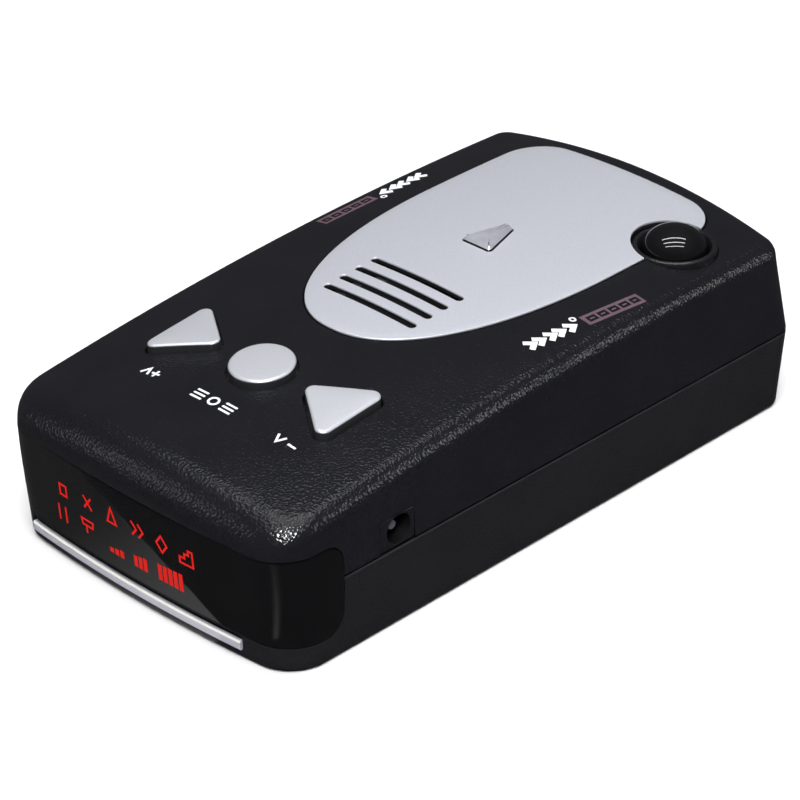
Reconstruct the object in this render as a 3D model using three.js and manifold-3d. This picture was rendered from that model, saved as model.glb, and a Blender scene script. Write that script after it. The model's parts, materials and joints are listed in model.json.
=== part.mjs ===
// Radar detector, all sizes in millimetres.
// +X is the driver's right, +Y points away from the driver, +Z is up, and the display faces -Y.
// The origin is the middle of the object's box on the surface that the object stands on.
import * as THREE from 'three';
import { mergeVertices } from 'three/addons/utils/BufferGeometryUtils.js';
import Module from 'manifold-3d';

const wasm = await Module();
wasm.setup();

// ---- case: driving dimensions ----
const HALF_WIDTH = 30;          // at the parting line
const PARTING_Z = 13.2;
const PARTING_GAP = 0.3;
const SIDE_DRAFT = 0.04;        // mm inward per mm away from the parting line
const FRONT_FOOT_Y = -52.8;     // front face at z = 0
const FRONT_LEAN = 0.082;       // the front face leans forward going up
const REAR_Y = 58.7;            // rear face at the parting line
const REAR_DRAFT_UP = 0.185;
const REAR_DRAFT_DOWN = 0.08;
const FRONT_BOW = 0.0020;       // bow of the front face, per mm of X squared
const REAR_BOW = 0.0020;
const FRONT_CORNER = 6;
const REAR_CORNER = 3;
const WALL = 1.8;
const FLOOR = 2;
const FOOT_ROUND = 0.9;

// ---- top surface: height over a point of the plan ----
const TOP_Z = 31.05;
const TOP_SLOPE = 0.0545;
const TOP_SAG = 0.00082;
const TOP_CROWN = 0.0032;
const SIDE_ROUND = 2.3;
const FRONT_ROUND = 7;
const SIDE_WALL_TOP = 26.5;     // about where each wall runs into its rounding
const FRONT_WALL_TOP = 20.5;
const REAR_WALL_TOP = 29.5;

// ---- the usual clearances ----
const GAP = 0.3;
const HAIR = 0.01;
const FAR = 80;                 // beyond the object in any direction, for cutting bodies

const topZ = (x, y) => TOP_Z + TOP_SLOPE * y - TOP_SAG * y * y - TOP_CROWN * x * x;
const mix = (a, b, t) => a + (b - a) * t;
const range = (count) => Array.from({ length: count }, (_, i) => i);

// ---------------------------------------------------------------- solids

function solidOf(geometry) {
  const bare = geometry.clone();
  bare.deleteAttribute('normal');
  bare.deleteAttribute('uv');
  const merged = mergeVertices(bare, 1e-4);
  return new wasm.Manifold(new wasm.Mesh({
    numProp: 3,
    vertProperties: new Float32Array(merged.attributes.position.array),
    triVerts: new Uint32Array(merged.index.array),
  }));
}

function geometryOf(solid) {
  const raw = solid.getMesh();
  const geometry = new THREE.BufferGeometry();
  geometry.setAttribute('position', new THREE.BufferAttribute(new Float32Array(raw.vertProperties), 3));
  geometry.setIndex(new THREE.BufferAttribute(new Uint32Array(raw.triVerts), 1));
  geometry.computeVertexNormals();
  return geometry;
}

// A closed skin over rings of equal length that run anticlockwise, listed from the bottom up.
function loft(rings) {
  const count = rings[0].length;
  const points = rings.flat();
  const faces = [];
  for (let r = 0; r + 1 < rings.length; r += 1) {
    for (let i = 0; i < count; i += 1) {
      const a = r * count + i;
      const b = r * count + (i + 1) % count;
      faces.push(a, b, b + count, a, b + count, a + count);
    }
  }
  const middle = (ring) => ring.reduce((sum, p) => sum.add(p), new THREE.Vector3())
    .divideScalar(ring.length);
  const last = (rings.length - 1) * count;
  points.push(middle(rings[0]), middle(rings[rings.length - 1]));
  for (let i = 0; i < count; i += 1) {
    const next = (i + 1) % count;
    faces.push(points.length - 2, next, i);
    faces.push(points.length - 1, last + i, last + next);
  }
  const geometry = new THREE.BufferGeometry().setFromPoints(points);
  geometry.setIndex(faces);
  return solidOf(geometry);
}

function box(x0, x1, y0, y1, z0, z1) {
  const geometry = new THREE.BoxGeometry(x1 - x0, y1 - y0, z1 - z0);
  geometry.translate((x0 + x1) / 2, (y0 + y1) / 2, (z0 + z1) / 2);
  return solidOf(geometry);
}

// Upright cylinder or cone from z0 to z1.
function post(x, y, z0, z1, radius, sides = 24, topRadius = radius) {
  const geometry = new THREE.CylinderGeometry(topRadius, radius, z1 - z0, sides);
  geometry.rotateX(Math.PI / 2);
  geometry.translate(x, y, (z0 + z1) / 2);
  return solidOf(geometry);
}

// Cylinder lying along X.
function barX(y, z, x0, x1, radius, sides = 24) {
  const geometry = new THREE.CylinderGeometry(radius, radius, x1 - x0, sides);
  geometry.rotateZ(Math.PI / 2);
  geometry.translate((x0 + x1) / 2, y, z);
  return solidOf(geometry);
}

// A body turned about a vertical axis through (x, y); the profile is [radius, z] pairs.
function turned(x, y, profile, sides = 36) {
  const geometry = new THREE.LatheGeometry(profile.map(([r, z]) => new THREE.Vector2(r, z)), sides);
  geometry.rotateX(Math.PI / 2);
  geometry.translate(x, y, 0);
  return solidOf(geometry);
}

// ---------------------------------------------------------------- plan outlines

const CORNER_STEPS = 7;
const SIDE_STEPS = 3;
const END_STEPS = 8;

// One turn round the case plan. Each point carries how far it faces the front, from 0 to 1.
function caseOutline(halfWidth, frontY, rearY, frontCorner, rearCorner) {
  const points = [];
  const put = (x, y, facing) => {
    const bow = y < 0 ? FRONT_BOW * x * x : -REAR_BOW * x * x;
    points.push({ x, y: y + bow, front: Math.max(0, facing) });
  };
  const corner = (signX, signY, radius, endY, startAngle) => {
    const cx = signX * (halfWidth - radius);
    const cy = endY - signY * radius;
    range(CORNER_STEPS + 1).forEach((i) => {
      const angle = startAngle + (Math.PI / 2) * (i / CORNER_STEPS);
      put(cx + radius * Math.cos(angle), cy + radius * Math.sin(angle), -Math.sin(angle));
    });
  };
  const along = (steps, from, to, facing) => {
    range(steps - 1).forEach((i) => {
      const t = (i + 1) / steps;
      put(mix(from[0], to[0], t), mix(from[1], to[1], t), facing);
    });
  };
  const rearX = halfWidth - rearCorner;
  const frontX = halfWidth - frontCorner;
  corner(1, 1, rearCorner, rearY, 0);
  along(END_STEPS, [rearX, rearY], [-rearX, rearY], 0);
  corner(-1, 1, rearCorner, rearY, Math.PI / 2);
  along(SIDE_STEPS, [-halfWidth, rearY - rearCorner], [-halfWidth, frontY + frontCorner], 0);
  corner(-1, -1, frontCorner, frontY, Math.PI);
  along(END_STEPS, [-frontX, frontY], [frontX, frontY], 1);
  corner(1, -1, frontCorner, frontY, Math.PI * 1.5);
  along(SIDE_STEPS, [halfWidth, frontY + frontCorner], [halfWidth, rearY - rearCorner], 0);
  return points;
}

const wallX = (z) => HALF_WIDTH - SIDE_DRAFT * Math.abs(z - PARTING_Z);
const wallFrontY = (z) => FRONT_FOOT_Y - FRONT_LEAN * z;
const wallRearY = (z) => REAR_Y - (z > PARTING_Z ? REAR_DRAFT_UP : REAR_DRAFT_DOWN)
  * Math.abs(z - PARTING_Z);

// The case plan at the three given heights, drawn in by the three given insets.
function casePlan(zSide, zFront, zRear, inset, insetFront = inset, insetRear = inset) {
  return caseOutline(
    wallX(zSide) - inset,
    wallFrontY(zFront) + insetFront,
    wallRearY(zRear) - insetRear,
    Math.max(1, FRONT_CORNER - Math.min(inset, FRONT_CORNER)),
    Math.max(1, REAR_CORNER - Math.min(inset, REAR_CORNER)),
  );
}

const levelRing = (plan, z) => plan.map((p) => new THREE.Vector3(p.x, p.y, z));

// A slab of the case's walls between two heights, inset from the outer face.
function wallSlab(z0, z1, inset) {
  const levels = [z0, ...(z0 < PARTING_Z && z1 > PARTING_Z ? [PARTING_Z] : []), z1];
  return loft(levels.map((z) => levelRing(casePlan(z, z, z, inset), z)));
}

// The upper half of the case, solid, inset from its outer face.
function upperBody(zBottom, inset) {
  const sideRound = Math.max(0.8, SIDE_ROUND - inset);
  const frontRound = Math.max(0.8, FRONT_ROUND - inset);
  const roundAt = (p) => mix(sideRound, frontRound, p.front * p.front);
  const skinZ = (p) => topZ(p.x, p.y) - inset;
  const rings = [];
  const WALL_STEPS = 3;
  range(WALL_STEPS + 1).forEach((i) => {
    const t = i / WALL_STEPS;
    const plan = casePlan(mix(zBottom, SIDE_WALL_TOP, t), mix(zBottom, FRONT_WALL_TOP, t),
      mix(zBottom, REAR_WALL_TOP, t), inset);
    rings.push(plan.map((p) => new THREE.Vector3(p.x, p.y, mix(zBottom, skinZ(p) - roundAt(p), t))));
  });
  const ROUND_STEPS = 6;
  const rounding = (i) => {
    const angle = (Math.PI / 2) * (i / ROUND_STEPS);
    const drawn = 1 - Math.cos(angle);
    const plan = casePlan(SIDE_WALL_TOP, FRONT_WALL_TOP, REAR_WALL_TOP, inset + sideRound * drawn,
      inset + frontRound * drawn, inset + sideRound * drawn);
    return plan.map((p) => new THREE.Vector3(p.x, p.y,
      skinZ(p) - roundAt(p) * (1 - Math.sin(angle))));
  };
  range(ROUND_STEPS).forEach((i) => rings.push(rounding(i + 1)));
  const edge = rings[rings.length - 1];
  const CAP_STEPS = 5;
  range(CAP_STEPS - 1).forEach((i) => {
    const keep = 1 - (i + 1) / CAP_STEPS;
    rings.push(edge.map((p) => {
      const x = p.x * keep;
      const y = p.y * mix(1, keep, 0.9);
      return new THREE.Vector3(x, y, topZ(x, y) - inset);
    }));
  });
  return loft(rings);
}

// The lower half of the case, solid, with its foot rounded.
function lowerBody(zTop) {
  const rings = [];
  const STEPS = 4;
  range(STEPS + 1).forEach((i) => {
    const angle = (Math.PI / 2) * (i / STEPS);
    const z = FOOT_ROUND * (1 - Math.cos(angle));
    rings.push(levelRing(casePlan(z, z, z, FOOT_ROUND * (1 - Math.sin(angle))), z));
  });
  rings.push(levelRing(casePlan(zTop, zTop, zTop, 0), zTop));
  return loft(rings);
}

// ---------------------------------------------------------------- outlines on the top

const disc = (x, y, radius, steps = 36) => range(steps).map((i) => {
  const angle = (Math.PI * 2 * i) / steps;
  return { x: x + radius * Math.cos(angle), y: y + radius * Math.sin(angle) };
});

// A convex outline rounded at each corner of an anticlockwise polygon.
function rounded(corners, radius, steps = 6) {
  const out = [];
  corners.forEach(([x, y], i) => {
    const before = corners[(i + corners.length - 1) % corners.length];
    const after = corners[(i + 1) % corners.length];
    const start = Math.atan2(y - before[1], x - before[0]) - Math.PI / 2;
    let turn = Math.atan2(after[1] - y, after[0] - x) - Math.PI / 2 - start;
    if (turn < 0) turn += Math.PI * 2;
    range(steps + 1).forEach((k) => {
      const angle = start + turn * (k / steps);
      out.push({ x: x + radius * Math.cos(angle), y: y + radius * Math.sin(angle) });
    });
  });
  return out;
}

const DRAWN_RINGS = 3;

// A block over a plan outline whose top follows one height function and its bottom another.
function capped(outline, centre, bottomZ, highZ, chamfer = 0) {
  const shrunk = (keep, inset, height) => outline.map((p) => {
    const reach = Math.hypot(p.x - centre.x, p.y - centre.y);
    const scale = keep * (reach - inset) / reach;
    const x = centre.x + (p.x - centre.x) * scale;
    const y = centre.y + (p.y - centre.y) * scale;
    return new THREE.Vector3(x, y, height(x, y));
  });
  const rings = [];
  range(DRAWN_RINGS - 1).forEach((i) => rings.push(shrunk((i + 1) / DRAWN_RINGS, 0, bottomZ)));
  rings.push(shrunk(1, 0, bottomZ));
  if (chamfer > 0) {
    rings.push(shrunk(1, 0, (x, y) => highZ(x, y) - chamfer));
    rings.push(shrunk(1, chamfer * 0.3, (x, y) => highZ(x, y) - chamfer * 0.3));
  }
  rings.push(shrunk(1, chamfer, highZ));
  range(DRAWN_RINGS - 1).forEach((i) => rings.push(shrunk(1 - (i + 1) / DRAWN_RINGS, chamfer, highZ)));
  return loft(rings);
}

const over = (offset) => (x, y) => topZ(x, y) + offset;
const level = (z) => () => z;

// ---------------------------------------------------------------- top panel

const PANEL_HALF_WIDTH = 19.6;
const PANEL_FRONT_Y = -14.5;
const PANEL_WIDEST_Y = 27;
const PANEL_REAR_Y = 51.3;
const PANEL_REAR_CORNER = 7;
const PANEL_SINK = 0.6;
const PANEL_PROUD = 0.2;
const PANEL_POWER = 2.2;
const PANEL_CENTRE = { x: 0, y: 22 };

function panelOutline(grow) {
  const halfWidth = PANEL_HALF_WIDTH + grow;
  const rearY = PANEL_REAR_Y + grow;
  const corner = PANEL_REAR_CORNER + grow;
  const points = [];
  const power = 2 / PANEL_POWER;
  const NOSE_STEPS = 30;
  range(NOSE_STEPS + 1).forEach((i) => {
    const angle = Math.PI + (Math.PI * i) / NOSE_STEPS;
    const c = Math.cos(angle);
    const s = Math.sin(angle);
    points.push({
      x: halfWidth * Math.sign(c) * Math.abs(c) ** power,
      y: PANEL_WIDEST_Y - (PANEL_WIDEST_Y - PANEL_FRONT_Y + grow) * Math.abs(s) ** power,
    });
  });
  [[1, 0], [-1, Math.PI / 2]].forEach(([sign, start]) => {
    range(CORNER_STEPS + 1).forEach((i) => {
      const angle = start + (Math.PI / 2) * (i / CORNER_STEPS);
      points.push({
        x: sign * (halfWidth - corner) + corner * Math.cos(angle),
        y: rearY - corner + corner * Math.sin(angle),
      });
    });
  });
  return points;
}

// speaker slots
const SLOT_COUNT = 4;
const SLOT_FIRST_Y = -6.3;
const SLOT_PITCH = 3.32;
const SLOT_HALF_LENGTH = 9.35;
const SLOT_WIDTH = 1.4;
const slotY = (i) => SLOT_FIRST_Y + i * SLOT_PITCH;

function slotCutter(y) {
  const reach = SLOT_HALF_LENGTH - SLOT_WIDTH / 2;
  const shape = new THREE.Shape();
  shape.absarc(reach, y, SLOT_WIDTH / 2, -Math.PI / 2, Math.PI / 2);
  shape.absarc(-reach, y, SLOT_WIDTH / 2, Math.PI / 2, Math.PI * 1.5);
  shape.closePath();
  return solidOf(new THREE.ExtrudeGeometry(shape, { depth: FAR, bevelEnabled: false, curveSegments: 8 }));
}

// arrow-shaped indicator window
const ARROW_FRONT_Y = 17.1;
const ARROW_REAR_Y = 24.6;
const ARROW_FRONT_HALF = 2.75;
const ARROW_REAR_HALF = 0.85;
const ARROW_CORNER = 0.45;
const ARROW_CENTRE = { x: 0, y: 20.2 };
const ARROW_PROUD = 0.75;
const ARROW_CHAMFER = 0.45;
const ARROW_FOOT_Z = 26;
const arrowOutline = (grow) => {
  const r = ARROW_CORNER;
  return rounded([
    [ARROW_FRONT_HALF - r, ARROW_FRONT_Y + r],
    [ARROW_REAR_HALF - r, ARROW_REAR_Y - r],
    [-ARROW_REAR_HALF + r, ARROW_REAR_Y - r],
    [-ARROW_FRONT_HALF + r, ARROW_FRONT_Y + r],
  ], r + grow, 4);
};

// laser dome, upright on the sloping rear right of the top
const DOME = { x: 19.9, y: 39.3 };
const DOME_RADIUS = 4.9;
const DOME_CENTRE_Z = 28.9;
const DOME_SKIN = 1.2;
const DOME_FOOT_Z = 26.6;
const RING_TOP_Z = 31.2;
const RING_OUTER = 6.6;
const RING_INNER = 5.3;
const RING_FOOT_Z = 26;

// ---------------------------------------------------------------- buttons

const BUTTON_Y = -28.15;
const BUTTON_SIDE_X = 14.93;
const MENU_RADIUS = 4.95;
const TRIANGLE_REACH_IN = 9.35;
const TRIANGLE_REACH_OUT = 18.7;
const TRIANGLE_HALF_LENGTH = 6.1;
const TRIANGLE_CORNER = 1.3;
const BUTTON_PROUD = 1.35;
const BUTTON_CHAMFER = 0.5;
const FLANGE_GROW = 0.8;
const FLANGE_Z = 23.8;
const SWITCH_HALF = 3;
const SWITCH_Z0 = 20.1;
const SWITCH_Z1 = 22.8;
const PLUNGER_Z0 = 21.5;
const PLUNGER_Z1 = 23.5;
const PLUNGER_ROOM = 0.8;
const PLUNGER_RADIUS = 1.6;

// Triangle pointing inward, towards the round button; side is -1 for left and 1 for right.
function triangleOutline(side, grow) {
  const r = TRIANGLE_CORNER;
  const out = TRIANGLE_REACH_OUT - r;
  const half = TRIANGLE_HALF_LENGTH - r;
  const corners = [
    [side * (TRIANGLE_REACH_IN + r), BUTTON_Y],
    [side * out, BUTTON_Y - half],
    [side * out, BUTTON_Y + half],
  ];
  return rounded(side > 0 ? corners : corners.reverse(), r + grow, 8);
}

const buttonShapes = {
  up: { x: -BUTTON_SIDE_X, outline: (grow) => triangleOutline(-1, grow) },
  menu: { x: 0, outline: (grow) => disc(0, BUTTON_Y, MENU_RADIUS + grow) },
  down: { x: BUTTON_SIDE_X, outline: (grow) => triangleOutline(1, grow) },
};

// ---------------------------------------------------------------- lens, strip, jack

const LENS_BOTTOM_Z = 4.4;
const LENS_TOP_Z = 18.8;
const LENS_END_Y = -41.6;
const LENS_CORNER = 3;
const LENS_THICKNESS = 1.8;

// A prism along X, seen from the side as the lens is, with its rear corners rounded.
function lensPrism(grow) {
  const r = LENS_CORNER + grow;
  const end = LENS_END_Y + grow;
  const low = LENS_BOTTOM_Z - grow;
  const high = LENS_TOP_Z + grow;
  const shape = new THREE.Shape();
  shape.moveTo(-FAR, low);
  shape.lineTo(end - r, low);
  shape.absarc(end - r, low + r, r, -Math.PI / 2, 0);
  shape.absarc(end - r, high - r, r, 0, Math.PI / 2);
  shape.lineTo(-FAR, high);
  shape.closePath();
  const geometry = new THREE.ExtrudeGeometry(shape, { depth: FAR, bevelEnabled: false, curveSegments: 6 });
  geometry.rotateY(Math.PI / 2);
  geometry.rotateX(Math.PI / 2);
  geometry.translate(-FAR / 2, 0, 0);
  return solidOf(geometry);
}

const STRIP_Z0 = 1.6;
const STRIP_Z1 = 3.3;
const STRIP_LEFT = -24.7;
const STRIP_RIGHT = 20.2;
const STRIP_PROUD = 0.35;
const STRIP_SINK = 0.5;
const STRIP_REAR_Y = -42;

const JACK_Y0 = -34.4;
const JACK_Y1 = -27.5;
const JACK_Z0 = 13.5;
const JACK_Z1 = 18.5;
const JACK_X0 = 20;
const JACK_FACE = 29.75;
const JACK_HOLE_Y = -30.6;
const JACK_HOLE_Z = 16.1;
const JACK_HOLE_RADIUS = 2.3;
const JACK_PIN_RADIUS = 0.7;
const JACK_BACK = 1.5;
const JACK_PIN_SHORT = 1.3;

// ---------------------------------------------------------------- inside

const FRONT_BOSS = { x: 23.5, y: -38 };
const REAR_BOSS = { x: 24, y: 50.4 };
const BOSS_RADIUS = 2.9;
const BOSS_ROOF = 1.2;          // from the outer face down to the top of a boss
const SCREW_RADIUS = 1.1;
const SCREW_HEAD_RADIUS = 2.2;
const SCREW_TOP_Z = 20;
const SCREW_HEAD_Z0 = 0.9;
const SCREW_HEAD_Z1 = 2.4;
const CROSS = { reach: 1.2, half: 0.3, depth: 0.8 };
const TONGUE_TOP = 14.9;
const TONGUE_INSET = 1.3;

const bosses = [
  ['front_left', -FRONT_BOSS.x, FRONT_BOSS.y],
  ['front_right', FRONT_BOSS.x, FRONT_BOSS.y],
  ['rear_left', -REAR_BOSS.x, REAR_BOSS.y],
  ['rear_right', REAR_BOSS.x, REAR_BOSS.y],
];

const MAIN_BOARD = { x0: -26.6, x1: 26.6, y0: -45.5, y1: 54, z0: 11.4, z1: 13 };
const DISPLAY_BOARD = { x0: -22, x1: 22, y0: -48.3, y1: -46.7, z0: 4.2, z1: 19.4 };
const LED_DISPLAY = { x0: -19, x1: 19, y0: -50.2, y1: -48.6, z0: 5.4, z1: 17.6 };
const BUTTON_BOARD = { x0: -19.6, x1: 19.6, y0: -35.6, y1: -22, z0: 18.2, z1: 19.8 };
const BOARD_CLEAR = 0.6;        // from a boss to the board's notch

const PARTS_Z = 13.3;           // the foot of the parts on the main board
const MIXER = { x0: -12, x1: 2, y0: 12, y1: 23.4, z0: PARTS_Z, z1: 19.5 };
const PROCESSOR = { x0: -7, x1: 7, y0: -22, y1: -8, z0: PARTS_Z, z1: 14.9 };
const REGULATOR = { x0: -20, x1: -13.5, y0: -18, y1: -9, z0: PARTS_Z, z1: 17.6 };
const INDUCTOR = { x: 12, y: -14, radius: 4, top: 17.6 };
const CAPACITOR = { x: 17.5, y: -4, radius: 3.1, top: 21.3 };

const HORN_MOUTH = { x0: -19, x1: 9, z0: 13.4, z1: 28.2, y: 53 };
const HORN_THROAT = { x0: -9.5, x1: -0.5, z0: 17.6, z1: 23.6, y: 24 };
const HORN_SHEET = 1.2;

// speaker profiles: radius, height
const SPEAKER = { x: 0, y: -1.2 };
const SPEAKER_FRAME = [
  [4.2, 23.2], [6.6, 23.2], [9.6, 26.6], [11, 26.6], [11, 27.6], [9, 27.6], [6.2, 24.2], [4.2, 24.2],
  [4.2, 23.2],
];
const SPEAKER_CONE = [[0, 25.1], [5, 25.1], [8.3, 27.9], [8.3, 28.2], [4.9, 25.6], [2.6, 25.6], [0, 26.6]];
const SPEAKER_MAGNET = { radius: 6.2, z0: 19.4, z1: 22.9 };

const INDICATOR = { radius: 1.5, tipRadius: 0.7, foot: 22.4, shoulder: 24.5, tip: 25.6 };
const PHOTODIODE = { half: 2, z0: 22.4, z1: 25.4 };

// ---------------------------------------------------------------- parts

const group = new THREE.Group();

function add(name, solid, color, roughness, metalness = 0) {
  const material = new THREE.MeshStandardMaterial({ color, roughness, metalness });
  const mesh = new THREE.Mesh(geometryOf(solid), material);
  mesh.name = name;
  group.add(mesh);
}

const block = ({ x0, x1, y0, y1, z0, z1 }) => box(x0, x1, y0, y1, z0, z1);

const CASE_BLACK = '#1d1e22';
const SILVER = '#c1c4cd';
const STEEL = '#b9bcc2';
const BOARD_GREEN = '#1f5a34';
const CHIP_BLACK = '#17171a';
const DARK = '#2b2b2e';

const domePocket = () => post(DOME.x, DOME.y, 0, FAR, RING_OUTER + GAP, 48);
const arrowPocket = () => capped(arrowOutline(GAP), ARROW_CENTRE, level(ARROW_FOOT_Z - 1), over(4));

function makeUpperShell() {
  const bottom = PARTING_Z + PARTING_GAP / 2;
  let shell = upperBody(bottom, 0).subtract(upperBody(bottom - 5, WALL));
  shell = shell.subtract(wallSlab(bottom - 1, TONGUE_TOP + GAP, TONGUE_INSET - GAP));
  bosses.forEach(([, x, y]) => {
    shell = shell.add(post(x, y, TONGUE_TOP, topZ(x, y) - BOSS_ROOF, BOSS_RADIUS));
    shell = shell.subtract(post(x, y, TONGUE_TOP - 1, SCREW_TOP_Z + 1, SCREW_RADIUS + GAP));
  });
  shell = shell.subtract(lensPrism(GAP));
  shell = shell.subtract(capped(panelOutline(GAP), PANEL_CENTRE, over(-PANEL_SINK - GAP), over(5)));
  Object.values(buttonShapes).forEach(({ x, outline }) => {
    shell = shell.subtract(capped(outline(GAP), { x, y: BUTTON_Y }, level(FLANGE_Z - 2), over(4)));
  });
  const grilleX = SLOT_HALF_LENGTH + GAP;
  const grilleY0 = slotY(0) - SLOT_WIDTH;
  const grilleY1 = slotY(SLOT_COUNT - 1) + SLOT_WIDTH;
  shell = shell.subtract(box(-grilleX, grilleX, grilleY0, grilleY1, TONGUE_TOP, FAR));
  shell = shell.subtract(arrowPocket()).subtract(domePocket());
  return shell.subtract(box(JACK_X0, FAR, JACK_Y0 - GAP, JACK_Y1 + GAP, 0, JACK_Z1 + GAP));
}

function makeLowerShell() {
  const top = PARTING_Z - PARTING_GAP / 2;
  let shell = lowerBody(top).add(wallSlab(top - 2, TONGUE_TOP, TONGUE_INSET));
  shell = shell.subtract(wallSlab(FLOOR, TONGUE_TOP + 5, WALL + 0.2));
  bosses.forEach(([, x, y]) => {
    shell = shell.add(post(x, y, FLOOR - 1, top, BOSS_RADIUS));
  });
  bosses.forEach(([, x, y]) => {
    shell = shell.subtract(post(x, y, -1, top + 1, SCREW_RADIUS + GAP));
    shell = shell.subtract(post(x, y, -1, SCREW_HEAD_Z1 + GAP, SCREW_HEAD_RADIUS + GAP));
  });
  shell = shell.subtract(lensPrism(GAP));
  const groove = wallSlab(STRIP_Z0 - GAP, STRIP_Z1 + GAP, -1)
    .subtract(wallSlab(STRIP_Z0 - 1, STRIP_Z1 + 1, STRIP_SINK + GAP))
    .intersect(box(STRIP_LEFT - GAP, STRIP_RIGHT + GAP, -FAR, STRIP_REAR_Y, 0, PARTING_Z));
  shell = shell.subtract(groove);
  return shell.subtract(box(JACK_X0, FAR, JACK_Y0 - GAP, JACK_Y1 + GAP, JACK_Z0 - GAP - HAIR, FAR));
}

const makeLens = () => wallSlab(LENS_BOTTOM_Z - 2, LENS_TOP_Z + 2, 0)
  .subtract(wallSlab(LENS_BOTTOM_Z - 3, LENS_TOP_Z + 3, LENS_THICKNESS))
  .intersect(lensPrism(0));

const makeStrip = () => wallSlab(STRIP_Z0, STRIP_Z1, -STRIP_PROUD)
  .subtract(wallSlab(STRIP_Z0 - 1, STRIP_Z1 + 1, STRIP_SINK))
  .intersect(box(STRIP_LEFT, STRIP_RIGHT, -FAR, STRIP_REAR_Y, 0, PARTING_Z));

function makePanel() {
  let panel = capped(panelOutline(0), PANEL_CENTRE, over(-PANEL_SINK), over(PANEL_PROUD), 0.25);
  range(SLOT_COUNT).forEach((i) => {
    panel = panel.subtract(slotCutter(slotY(i)));
  });
  return panel.subtract(arrowPocket()).subtract(domePocket());
}

add('upper_shell', makeUpperShell(), CASE_BLACK, 0.5);
add('lower_shell', makeLowerShell(), CASE_BLACK, 0.55);
add('display_lens', makeLens(), '#101013', 0.08);
add('front_trim_strip', makeStrip(), SILVER, 0.3, 0.8);
add('top_panel', makePanel(), SILVER, 0.35, 0.6);

Object.entries(buttonShapes).forEach(([name, { x, outline }]) => {
  const centre = { x, y: BUTTON_Y };
  const stem = capped(outline(0), centre, level(FLANGE_Z), over(BUTTON_PROUD), BUTTON_CHAMFER);
  const flange = capped(outline(FLANGE_GROW), centre, level(FLANGE_Z), over(-WALL - GAP - 0.05));
  add(`${name}_button`, stem.add(flange), '#c8cad2', 0.4, 0.4);
  const plunger = post(x, BUTTON_Y, PLUNGER_Z0, PLUNGER_Z1, PLUNGER_RADIUS, 16);
  add(`${name}_switch_plunger`, plunger, '#7a4a30', 0.6);
  const body = box(x - SWITCH_HALF, x + SWITCH_HALF, BUTTON_Y - SWITCH_HALF, BUTTON_Y + SWITCH_HALF,
    SWITCH_Z0, SWITCH_Z1);
  const well = post(x, BUTTON_Y, PLUNGER_Z0 - PLUNGER_ROOM, FAR, PLUNGER_RADIUS + GAP, 16);
  add(`${name}_switch`, body.subtract(well), DARK, 0.5);
});

const lightPipe = capped(arrowOutline(0), ARROW_CENTRE, level(ARROW_FOOT_Z), over(ARROW_PROUD),
  ARROW_CHAMFER);
add('indicator_light_pipe', lightPipe, '#d9dbe0', 0.15);
const indicatorBody = post(ARROW_CENTRE.x, ARROW_CENTRE.y, INDICATOR.foot, INDICATOR.shoulder + HAIR,
  INDICATOR.radius, 16);
const indicatorTip = post(ARROW_CENTRE.x, ARROW_CENTRE.y, INDICATOR.shoulder, INDICATOR.tip,
  INDICATOR.radius, 16, INDICATOR.tipRadius);
add('indicator_led', indicatorBody.add(indicatorTip), '#b3201c', 0.2);

function makeDome() {
  const profile = [[0, DOME_FOOT_Z], [DOME_RADIUS, DOME_FOOT_Z]];
  const STEPS = 9;
  range(STEPS).forEach((i) => {
    const angle = (Math.PI / 2) * (i / STEPS);
    profile.push([DOME_RADIUS * Math.cos(angle), DOME_CENTRE_Z + DOME_RADIUS * Math.sin(angle)]);
  });
  profile.push([0, DOME_CENTRE_Z + DOME_RADIUS]);
  const well = post(DOME.x, DOME.y, RING_FOOT_Z, DOME_CENTRE_Z, DOME_RADIUS - DOME_SKIN, 24);
  return turned(DOME.x, DOME.y, profile).subtract(well);
}
add('laser_dome', makeDome(), '#08080a', 0.04);
add('dome_ring', turned(DOME.x, DOME.y, [
  [RING_INNER, RING_FOOT_Z],
  [RING_OUTER, RING_FOOT_Z],
  [RING_OUTER, RING_TOP_Z - 0.5],
  [RING_OUTER - 0.35, RING_TOP_Z - 0.1],
  [RING_OUTER - 0.75, RING_TOP_Z],
  [RING_INNER, RING_TOP_Z - 0.55],
  [RING_INNER, RING_FOOT_Z],
]), '#141418', 0.35);
add('laser_photodiode', box(DOME.x - PHOTODIODE.half, DOME.x + PHOTODIODE.half,
  DOME.y - PHOTODIODE.half, DOME.y + PHOTODIODE.half, PHOTODIODE.z0, PHOTODIODE.z1), '#1b1320', 0.2);

function makeJackHousing() {
  const body = box(JACK_X0, JACK_FACE, JACK_Y0, JACK_Y1, JACK_Z0, JACK_Z1);
  return body.subtract(barX(JACK_HOLE_Y, JACK_HOLE_Z, JACK_X0 + JACK_BACK, FAR, JACK_HOLE_RADIUS));
}
add('dc_jack_housing', makeJackHousing(), '#141417', 0.5);
add('dc_jack_pin', barX(JACK_HOLE_Y, JACK_HOLE_Z, JACK_X0 + JACK_BACK + GAP, JACK_FACE - JACK_PIN_SHORT,
  JACK_PIN_RADIUS, 14), STEEL, 0.25, 1);

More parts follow.
